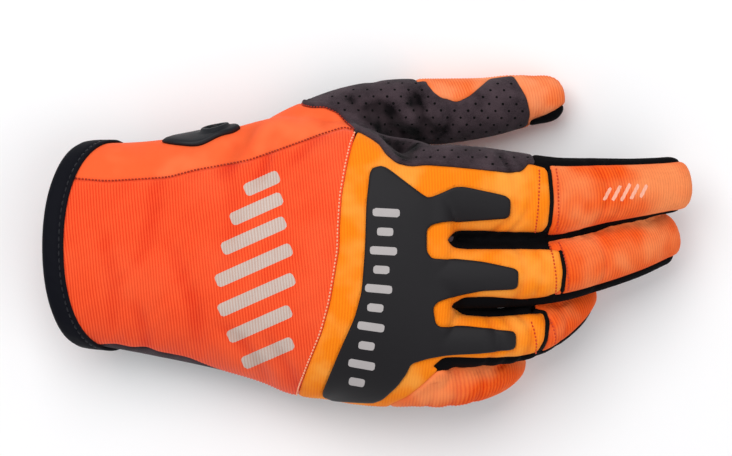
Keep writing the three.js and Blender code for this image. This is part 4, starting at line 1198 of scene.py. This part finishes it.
def sewn(name, rows, length, width, height, material, seed=1, hole=False):
    """Stitches or holes at points with their direction and the way out of the cloth."""
    points, along, up = (np.concatenate([row[k] for row in rows]) for k in range(3))
    piece = made(name, points, np.zeros((0, 3), int), [], {"along": along, "up": up})
    through(piece, copies_tree("punched_holes" if hole else "stitches", hole),
            {"Length": length * MM, "Width": width * MM, "Height": height * MM, "Seed": seed,
             "Material": material})
    return piece


def stitch_row(base, path, spacing, lift, closed=False):
    """Evenly spaced points over a path on the surface, with directions."""
    path = np.asarray(path, float)
    if closed:
        path = np.concatenate([path, path[:1]])
    run = run_of(path)
    count = max(int(run[-1] / spacing), 2)
    at = (np.arange(count) + 0.5) * run[-1] / count
    seat, up = on_surface(base, spots_on(path, run, at))
    ahead, behind = spots_on(path, run, at + 0.4), spots_on(path, run, at - 0.4)
    return seat + up * lift, unit(ahead - behind), up


def on_surface(base, points):
    """Nearest points of the glove's surface and the way out of it there."""
    seats, ups = [], []
    for p in np.asarray(points) * MM:
        seat, normal, *_ = base.tree.find_nearest(Vector(p))
        seats.append(seat)
        ups.append(normal)
    return np.array(seats) / MM, np.array(ups)


def line_path(base, line, start, end, step=0.6):
    """The part of a closed outline between two shares, dropped on the glove's upper side."""
    line = np.concatenate([line, line[:1]])
    run = run_of(line)
    at = np.arange(start * run[-1], end * run[-1], step)
    found = []
    for x, y in spots_on(line, run, at % run[-1]):
        hit, *_ = base.tree.ray_cast(Vector((x * MM, y * MM, 0.2)), Vector((0, 0, -1)))
        if hit:
            found.append(np.array(hit) / MM)
    return np.array(found)


def panel_relief(field, guarded):
    """Height of a panel's face: a soft crown that rolls down into the seam round it."""
    roll = ROLL_DEPTH * np.exp(-(np.maximum(field, 0) / ROLL_WIDTH) ** 1.5)
    crown = CROWN_HEIGHT * (1 - np.exp(-np.maximum(field, 0) / CROWN_WIDTH)) - CROWN_LEVEL
    return np.where(guarded, np.minimum(crown - roll, -0.05), crown - roll)


def printed_faces(points, faces, values, prints):
    """Cuts a surface along its print and tells which faces lie in it."""
    if not prints:
        return points, faces, values, np.zeros(len(faces), bool)
    points, faces, values, field = split(points, faces, values, values["print"])
    return points, faces, values, field[faces].max(1) > 1e-9


def with_slots(count, inked):
    """Material slots of a sheet: its printed faces come second, the rest is cloth."""
    slots = np.zeros(count, int)
    slots[:len(inked)] = inked
    return slots


def panel_piece(base, name, field, settings, cloth, ink=None, prints=(), ribs=None,
                rib_share=1.0, relief=None, carried=None):
    """One panel as a closed sheet of cloth, with its ribs and print."""
    values = {"n": base.normals, "inside": field, "fold": base.fold, **(carried or {})}
    values["print"] = bar_field(base.points, prints) if prints else np.full(len(field), FAR)
    if ribs is not None:
        values["phase"] = ribs
    guard = base.outlines["guard"]
    values["guard"] = np.minimum(guard, base.over_seam)
    points, faces, values = kept(base.points, base.faces, values, field)
    points, faces, values = without_scraps(points, faces, values, 8)
    for level in (0.4, 1.1):
        points, faces, values, _ = split(points, faces, values, values["inside"] - level)
    if ribs is not None:
        points, faces, values = rib_lines(points, faces, values, values["phase"])
    points, faces, values, inked = printed_faces(points, faces, values, prints)
    normals = unit(values["n"])
    near = values["inside"]
    guarded = values["guard"] > -0.6
    top = panel_relief(near, guarded)
    rib = np.cos(np.pi * values["phase"]) if ribs is not None else np.zeros(len(points))
    rib = rib * np.clip((near - 0.5) / 1.2, 0, 1) * np.where(guarded, 0.0, 1.0) * rib_share
    if relief is not None:
        top = top + relief(values)
    # rib and fold go to the finishes as attributes; there they paint shade in the rib valleys and
    # fold hollows
    extra = {"rib": rib, "out": normals, "fold": values["fold"]}
    wall = settings.wall / MM
    sheet, faces_, extra = thick(points, faces, extra, normals, top, wall)
    extra["rib"] = extra["rib"] * extra["outer"]
    sheet[:, 2] = np.maximum(sheet[:, 2], 0.02)
    piece = made(name, sheet, faces_, [cloth, ink or cloth], extra,
                 with_slots(len(faces_), inked))
    through(piece, rib_tree(), {"Height": settings.rib_height, "Cloth": cloth,
                                "Print": ink or cloth})
    thinned(piece, MOST_TRIANGLES)
    return piece


# Settings
def length(name, description, default):
    return bpy.props.FloatProperty(name=name, description=description, default=default,
                                   min=0.0, unit="LENGTH", precision=5)


class GlovePanels(bpy.types.PropertyGroup):
    wall: length("Wall", "Thickness of the cloth", 0.0015)
    rib_height: length("Rib height", "Half the depth of the ribs", 0.00014)
    back_pitch: length("Back ribs", "Spacing of the ribs on the hand", 0.0011)
    finger_pitch: length("Finger ribs", "Spacing of the ribs on the fingers", 0.0011)


class GloveTrim(bpy.types.PropertyGroup):
    binding_width: length("Binding", "Width of the cuff binding", 0.0068)
    binding_thickness: length("Binding thickness", "Thickness of the binding", 0.0011)
    guard_thickness: length("Guard", "Thickness of the knuckle guard", 0.0011)
    tab_thickness: length("Tab", "Thickness of the pull tab", 0.002)
    ring_height: length("Tab ring", "Height of the ring round the tab's hole", 0.0012)


class GloveSewing(bpy.types.PropertyGroup):
    stitch_length: length("Stitch", "Length of a stitch", 0.0021)
    stitch_spacing: length("Spacing", "Distance from stitch to stitch", 0.0027)
    thread: length("Thread", "Thickness of the thread", 0.00065)
    hole_spacing: length("Hole spacing", "Distance between holes in a row", 0.0052)
    hole_rows: length("Hole rows", "Distance between rows of holes", 0.0026)
    hole_size: length("Hole size", "Diameter of the palm's holes", 0.001)


class GloveStage(bpy.types.PropertyGroup):
    camera_height: length("Camera height", "Height of the camera over the floor", 1.5)
    picture_width: length("Picture width", "Width that the picture covers", 0.27523)
    key_power: bpy.props.FloatProperty(name="Key light", description="Power of the large light",
                                       default=9.0, unit="POWER")
    fill_power: bpy.props.FloatProperty(name="Fill light", description="Power of the fill light",
                                        default=4.0, unit="POWER")


KEPT = {}


def kept_base():
    """The base surface, made once for all pieces."""
    if "base" not in KEPT:
        KEPT["base"] = Base()
        KEPT["fields"] = gap_fields(KEPT["base"])
        KEPT["finish"] = finishes()
    return KEPT["base"], KEPT["fields"], KEPT["finish"]


def shape_noise(base, scale, seed):
    """Smooth uneven values over the surface, from a few seeded waves."""
    source = np.random.default_rng(seed)
    total = np.zeros(len(base.points))
    for _ in range(7):
        wave = source.normal(size=3) / scale
        total += np.sin(base.points @ wave * 2 * np.pi + source.uniform(0, 6.28))
    return total / 7


class GLOVE_OT_back(bpy.types.Operator):
    """Back of the hand: ribbed panel, side panel and padded knuckle panel"""
    bl_idname = "glove.back"
    bl_label = "Back panels"

    def execute(self, context):
        base, fields, finish = kept_base()
        settings = context.scene.glove_panels
        x, y = base.points[:, 0], base.points[:, 1]
        wavy = shape_noise(base, 45.0, 4)
        pitch = settings.back_pitch / MM / 2
        back_ribs = (x + 0.10 * y + 0.5 * wavy) / pitch
        knuckle_ribs = (x + 0.004 * y ** 2 * 0.3 + 0.4 * wavy) / pitch
        for name, ribs, share, cloth, ink, slot_ in (
                ("back_panel", back_ribs, 1.0, "back", "print", "ribbed_stretch_red"),
                ("side_panel", None, 1.0, "side", None, "smooth_stretch_orange"),
                ("knuckle_panel", knuckle_ribs, 0.5, "knuckle", None, "ribbed_stretch_yellow")):
            piece = panel_piece(base, name + "_cloth", fields[name], settings, finish[cloth],
                                finish[ink] if ink else None, PRINTS.get(name, ()), ribs, share)
            handed_over(piece, slot_, name)
        return {"FINISHED"}


class GLOVE_OT_fingers(bpy.types.Operator):
    """Ribbed backs of the fingers and the thumb"""
    bl_idname = "glove.fingers"
    bl_label = "Finger backs"

    def execute(self, context):
        base, fields, finish = kept_base()
        settings = context.scene.glove_panels
        pitch = settings.finger_pitch / MM / 2
        for finger in FINGERS:
            name = finger + "_back"
            c = base.coordinates[finger]
            ribs = (c["s"] + 0.012 * c["u"] ** 2 + 0.3 * shape_noise(base, 30.0, 5)) / pitch
            cloth = finish["thumb" if finger == "thumb" else "finger"]
            piece = panel_piece(base, name + "_cloth", fields[name], settings, cloth,
                                finish["pink_print"], PRINTS.get(name, ()), ribs)
            handed_over(piece, "ribbed_stretch_orange", name)
        return {"FINISHED"}


class GLOVE_OT_gussets(bpy.types.Operator):
    """Black stretch strips between the fingers, at the thumb and over the knuckles"""
    bl_idname = "glove.gussets"
    bl_label = "Gussets"

    def execute(self, context):
        base, fields, finish = kept_base()
        for name in ("gusset_index_outer", "gusset_index_middle", "gusset_middle_ring",
                     "gusset_ring_little", "thumb_gusset", "index_flex", "middle_flex",
                     "ring_flex"):
            cloth = finish["slit"] if name.endswith("flex") else finish["black"]
            piece = panel_piece(base, name + "_cloth", fields[name], context.scene.glove_panels,
                                cloth, relief=pressed_out if name in TOUCHING else None)
            handed_over(piece, "black_stretch", name)
        return {"FINISHED"}


def pressed_out(values):
    """Gussets of neighbouring fingers bulge until they touch."""
    return BULGE * np.clip(values["inside"] / BULGE_RISE, 0, 1)


class GLOVE_OT_palm(bpy.types.Operator):
    """Suede palm with punched holes"""
    bl_idname = "glove.palm"
    bl_label = "Palm"

    def execute(self, context):
        base, fields, finish = kept_base()
        sewing = context.scene.glove_sewing
        edge = -np.maximum(base.outlines["knuckle"], base.outlines["side"])
        piece = panel_piece(base, "palm_suede", fields["palm"], context.scene.glove_panels,
                            finish["suede"], relief=folded_edge,
                            carried={"edge": np.minimum(edge, 30.0)})
        handed_over(piece, "synthetic_suede", "palm")
        spacing, rows = sewing.hole_spacing / MM, sewing.hole_rows / MM
        points, ups = [], []
        for side, low_x, high_x, low_y, high_y, tilt in HOLE_FIELDS:
            for row in range(int(low_y / rows), int(high_y / rows) + 1):
                for column in range(int(low_x / spacing), int(high_x / spacing) + 1):
                    spot = Vector(((column + 0.5 * (row % 2)) * spacing + tilt * row, row * rows,
                                   120 * side)) * MM
                    hit, normal, index, _ = base.tree.ray_cast(spot, Vector((0, 0, -side)))
                    if not hit or side * normal.z < 0.35 or hit.z < 0.0004:
                        continue
                    if fields["palm"][base.faces[index]].min() < HOLE_MARGIN:
                        continue
                    points.append(np.array(hit) / MM)
                    ups.append(np.array(normal))
        points, ups = np.array(points), np.array(ups)
        along = unit(np.cross(ups, (0, 1, 0)))
        holes = sewn("palm_holes", [(points + ups * HOLE_LIFT, along, ups)], sewing.hole_size / MM,
                     sewing.hole_size / MM, 0.1, finish["hole"], 3, True)
        handed_over(holes, "synthetic_suede")
        return {"FINISHED"}


def folded_edge(values):
    """The suede's edge is folded under and sewn down where it laps over the back."""
    edge = values["edge"]
    band = np.clip((FOLD_WIDTH - edge) / 1.2, 0, 1) * np.clip((edge + 0.4) / 0.6, 0, 1)
    groove = np.exp(-((edge - GROOVE_PLACE) / GROOVE_WIDTH) ** 2)
    return FOLD_HEIGHT * band - GROOVE_DEPTH * groove


class GLOVE_OT_guard(bpy.types.Operator):
    """Moulded rubber guard on the knuckle panel"""
    bl_idname = "glove.guard"
    bl_label = "Knuckle guard"

    def execute(self, context):
        base, _, finish = kept_base()
        field = np.minimum(base.outlines["guard"], base.over_seam)
        values = {"n": base.normals, "inside": field,
                  "print": bar_field(base.points, PRINTS["knuckle_guard"])}
        points, faces, values = kept(base.points, base.faces, values, field)
        for level in (0.3, 0.8, 1.4):
            points, faces, values, _ = split(points, faces, values, values["inside"] - level)
        points, faces, values, inked = printed_faces(points, faces, values, True)
        near = np.maximum(values["inside"], 0)
        thickness = context.scene.glove_trim.guard_thickness / MM
        top = SEAT + thickness * (0.6 + 0.4 * np.sqrt(np.clip(near / 0.8, 0, 1)))
        sheet, faces_, _ = thick(points, faces, {}, unit(values["n"]), top, -GUARD_SEAT)
        piece = made("knuckle_guard_rubber", sheet, faces_,
                     [finish["rubber"], finish["grey_print"]], None,
                     with_slots(len(faces_), inked))
        handed_over(piece, "matte_rubber", "knuckle_guard")
        return {"FINISHED"}


def cuff_loop(base, count=420):
    """The cuff's edge in order, evenly spaced, with the way out and the way to the fingers."""
    border = edge_loops(base.faces)
    after = dict(zip(border[:, 0].tolist(), border[:, 1].tolist()))
    best = []
    while after:
        start = next(iter(after))
        loop = [start]
        while loop[-1] in after:
            loop.append(after.pop(loop[-1]))
        if len(loop) > len(best):
            best = loop
    points = base.points[best]
    run = run_of(points)
    at = np.linspace(0, run[-1], count, endpoint=False)
    ring = spots_on(points, run, at)
    for _ in range(3):
        ring = (np.roll(ring, 1, 0) + 2 * ring + np.roll(ring, -1, 0)) / 4
    _, out = on_surface(base, ring)
    along = unit(np.roll(ring, -1, 0) - np.roll(ring, 1, 0))
    inward = np.cross(along, out)
    inward *= np.sign(inward[:, 0:1] + 1e-9) if inward[:, 0].mean() < 0 else 1
    inward = unit(inward - out * (inward * out).sum(1, keepdims=True))
    inward[inward[:, 0] < 0] *= -1
    return ring, out, inward


def banded(rings):
    """Skins closed rings of points in a closed profile: a band that goes all the way round."""
    count, around = len(rings), len(rings[0])
    points = np.concatenate(rings)
    faces = []
    for k in range(count):
        a = k * around + np.arange(around)
        b = k * around + (np.arange(around) + 1) % around
        c = ((k + 1) % count) * around
        c_a, c_b = c + np.arange(around), c + (np.arange(around) + 1) % around
        faces += [np.stack([a, b, c_b], 1), np.stack([a, c_b, c_a], 1)]
    return points, outward(points, np.concatenate(faces))


class GLOVE_OT_binding(bpy.types.Operator):
    """Binding folded over the cuff's edge, with its line of stitches"""
    bl_idname = "glove.binding"
    bl_label = "Cuff binding"

    def execute(self, context):
        base, _, finish = kept_base()
        trim, sewing = context.scene.glove_trim, context.scene.glove_sewing
        width, thickness = trim.binding_width / MM, trim.binding_thickness / MM
        wall = context.scene.glove_panels.wall / MM
        ring, out, inward = cuff_loop(base)
        over, under = SEAT, -wall - SEAT
        # along the cloth, out of the cloth, round the band from its outer edge to its inner
        profile = [(width, over), (width, over + 0.6 * thickness),
                   (width - 0.4, over + thickness), (width - 1.1, over + 1.05 * thickness),
                   (width - 1.7, over + 0.55 * thickness), (width - 2.3, over + 1.05 * thickness),
                   (width * 0.45, over + 1.1 * thickness), (1.2, over + 1.05 * thickness),
                   (0.0, over + 0.9 * thickness), (-1.0, over + 0.3 * thickness),
                   (-1.4, (over + under) / 2), (-1.0, under - 0.3 * thickness),
                   (0.0, under - 0.9 * thickness), (width * 0.5, under - thickness),
                   (width - 0.5, under - thickness), (width, under - 0.6 * thickness),
                   (width, under), (width * 0.5, under), (0.0, under), (-0.3, (over + under) / 2),
                   (0.0, over), (width * 0.5, over)]
        rows = []
        for along, height in profile:
            if along > 0:
                seat, way = on_surface(base, ring + inward * along)
                rows.append(seat + way * height)
            else:
                rows.append(ring + inward * along + out * height)
        points, faces = banded(rows)
        points[:, 2] = np.maximum(points[:, 2], 0.05)
        piece = made("cuff_binding_band", points, faces, [finish["binding"]])
        handed_over(piece, "black_stretch", "cuff_binding")
        seat, way = on_surface(base, ring + inward * (width - 1.7))
        rows = [stitch_row(base, seat + way, sewing.stitch_spacing / MM,
                           over + 0.7 * thickness, True)]
        stitches = sewn("binding_stitches", rows, sewing.stitch_length / MM, sewing.thread / MM,
                        sewing.thread / MM, finish["dark_thread"], 7)
        handed_over(stitches, "black_stretch")
        return {"FINISHED"}


class GLOVE_OT_pull_tab(bpy.types.Operator):
    """Moulded pull tab with a raised ring round its hole"""
    bl_idname = "glove.pull_tab"
    bl_label = "Pull tab"

    def execute(self, context):
        base, _, finish = kept_base()
        trim = context.scene.glove_trim
        heading, tilt = math.radians(TAB["heading"]), math.radians(TAB["tilt"])
        ex = np.array([math.cos(heading), math.sin(heading), 0])
        ey = np.array([-math.sin(heading) * math.cos(tilt), math.cos(heading) * math.cos(tilt),
                       -math.sin(tilt)])
        ez = np.cross(ex, ey)
        centre = np.array(TAB["place"]) * (LENGTH, WIDTH, HEIGHT)
        turn = np.linspace(0, 2 * math.pi, 96, endpoint=False)

        def leaf(long, wide, moved=0.0):
            across = np.sin(turn) * np.abs(np.sin(turn)) ** 0.5
            return np.stack([np.cos(turn) * long / 2 + moved, across * wide / 2], axis=1)
        hole = leaf(TAB["hole"][0], TAB["hole"][1], TAB["hole_at"])
        rim = leaf(TAB["hole"][0] + 4.2, TAB["hole"][1] + 4.2, TAB["hole_at"])
        edge = leaf(TAB["size"][0], TAB["size"][1])
        thickness, ring_height = trim.tab_thickness / MM, trim.ring_height / MM
        rows = []

        def seated(flat, height):
            spots = centre + flat[:, 0:1] * ex + flat[:, 1:2] * ey
            placed = []
            for spot in spots:
                hit, *_ = base.tree.ray_cast(Vector((spot + ez * 30) * MM), Vector(-ez))
                placed.append((np.array(hit) / MM if hit else spot) + ez * height)
            return np.array(placed)
        steps = [(hole, hole, 0, SEAT), (hole, hole, 0, SEAT + thickness),
                 (hole, rim, 0.15, 0.2 + thickness + ring_height),
                 (hole, rim, 0.4, SEAT + thickness + ring_height),
                 (hole, rim, 0.7, 0.2 + thickness + ring_height),
                 (hole, rim, 1.0, 0.25 + thickness)]
        steps += [(rim, edge, t, SEAT + thickness * (1 - 0.12 * t)) for t in (0.15, 0.35, 0.6, 0.8)]
        steps += [(rim, edge, 0.93, 0.2 + thickness * 0.75),
                  (rim, edge, 1.0, SEAT + 0.4 * thickness), (rim, edge, 1.0, SEAT)]
        steps += [(hole, edge, t, SEAT) for t in (0.7, 0.35)]
        for low, high, share, height in steps:
            rows.append(seated(low * (1 - share) + high * share, height))
        points, faces = banded(rows)
        piece = made("pull_tab_rubber", points, faces, [finish["tab"]])
        handed_over(piece, "moulded_rubber", "pull_tab")
        return {"FINISHED"}


class GLOVE_OT_sewing(bpy.types.Operator):
    """Rows of stitches along the seams and hems"""
    bl_idname = "glove.sewing"
    bl_label = "Stitches"

    def execute(self, context):
        base, _, finish = kept_base()
        sewing = context.scene.glove_sewing
        thick_ = sewing.thread / MM
        rows = {}
        for outline, start, end, inset, thread, spacing, lift in SEWN_SEAMS:
            line = smooth_outline(OUTLINES[outline])
            ahead = np.roll(line, -1, 0) - np.roll(line, 1, 0)
            inward = unit(np.stack([-ahead[:, 1], ahead[:, 0]], axis=1))
            probe = np.pad(line + inward * 0.5, ((0, 0), (0, 1)))
            if outline_distance(line, probe).mean() < 0:
                inward = -inward
            path = line_path(base, line + inward * inset, start, end)
            if len(path) > 3:
                rows.setdefault((thread, spacing), []).append(
                    stitch_row(base, path, spacing, lift))
        for finger, place, low, high, thread, spacing in FINGER_HEMS:
            centre, _, side, up, half, rise, _ = finger_frame(finger_table(finger), place)
            share = np.linspace(low, high, 40)[:, None]
            bent = centre + share * half * side + rise * np.sqrt(1 - (share * 0.9) ** 2) * up
            seat, _ = on_surface(base, bent)
            rows.setdefault((thread, spacing), []).append(stitch_row(base, seat, spacing, 0.2))
        for k, ((thread, spacing), found) in enumerate(rows.items()):
            piece = sewn(f"{thread}_stitches_{k}", found, spacing * 0.78, thick_, thick_,
                         finish[thread], 11 + k)
            handed_over(piece, "ribbed_stretch_orange")
        return {"FINISHED"}


class GLOVE_OT_stage(bpy.types.Operator):
    """Pale floor, soft studio lights and the camera over the hand's back"""
    bl_idname = "glove.stage"
    bl_label = "Stage"

    def execute(self, context):
        settings = context.scene.glove_stage
        floor = mesh_object("floor", [(-3, -3, 0), (3, -3, 0), (3, 3, 0), (-3, 3, 0)],
                            [(0, 1, 2), (0, 2, 3)], False)
        pale = bpy.data.materials.new("pale_floor")
        pale.use_nodes = True
        shader = pale.node_tree.nodes["Principled BSDF"]
        shader.inputs["Base Color"].default_value = linear("#FAFAFA")
        shader.inputs["Roughness"].default_value = 0.9
        floor.data.materials.append(pale)
        for name, place, size, power in (("key", (-0.25, 0.5, 1.1), 0.9, settings.key_power),
                                         ("fill", (0.6, -0.4, 1.2), 1.2, settings.fill_power)):
            light = bpy.data.lights.new(name, "AREA")
            light.energy, light.size = power, size
            lamp = bpy.data.objects.new(name, light)
            context.scene.collection.objects.link(lamp)
            lamp.location = place
            lamp.rotation_euler = (Vector((0, 0, 0.02)) - lamp.location).to_track_quat(
                "-Z", "Y").to_euler()
        world = bpy.data.worlds.new("studio")
        world.use_nodes = True
        world.node_tree.nodes["Background"].inputs["Color"].default_value = linear("#F2F3F6")
        world.node_tree.nodes["Background"].inputs["Strength"].default_value = 0.56
        context.scene.world = world
        lens = bpy.data.cameras.new("camera")
        lens.sensor_width = SENSOR_WIDTH
        lens.lens = (SENSOR_WIDTH * (settings.camera_height - PICTURE_LEVEL)
                     / settings.picture_width)
        camera = bpy.data.objects.new("camera", lens)
        context.scene.collection.objects.link(camera)
        camera.location = (-0.00025, 0.00462, settings.camera_height)
        context.scene.camera = camera
        context.scene.view_settings.view_transform = "Standard"
        return {"FINISHED"}


class GLOVE_PT_panel(bpy.types.Panel):
    """Glove pieces in the sidebar"""
    bl_label = "Glove"
    bl_idname = "GLOVE_PT_panel"
    bl_space_type = "VIEW_3D"
    bl_region_type = "UI"
    bl_category = "Glove"

    def draw(self, context):
        for group in ("glove_panels", "glove_trim", "glove_sewing", "glove_stage"):
            settings = getattr(context.scene, group)
            for key in settings.__annotations__:
                self.layout.prop(settings, key)
        for operator in STEPS:
            self.layout.operator(operator.bl_idname)


GROUPS = {"glove_panels": GlovePanels, "glove_trim": GloveTrim, "glove_sewing": GloveSewing,
          "glove_stage": GloveStage}
STEPS = (GLOVE_OT_back, GLOVE_OT_fingers, GLOVE_OT_gussets, GLOVE_OT_palm, GLOVE_OT_guard,
         GLOVE_OT_binding, GLOVE_OT_pull_tab, GLOVE_OT_sewing, GLOVE_OT_stage)


def register():
    for kind in (*GROUPS.values(), *STEPS, GLOVE_PT_panel):
        bpy.utils.register_class(kind)
    for name, kind in GROUPS.items():
        setattr(bpy.types.Scene, name, bpy.props.PointerProperty(type=kind))


def unregister():
    for name in GROUPS:
        delattr(bpy.types.Scene, name)
    for kind in reversed((*GROUPS.values(), *STEPS, GLOVE_PT_panel)):
        bpy.utils.unregister_class(kind)


def main():
    register()
    for step in STEPS:
        group, name = step.bl_idname.split(".")
        getattr(getattr(bpy.ops, group), name)()


if __name__ == "__main__":
    main()
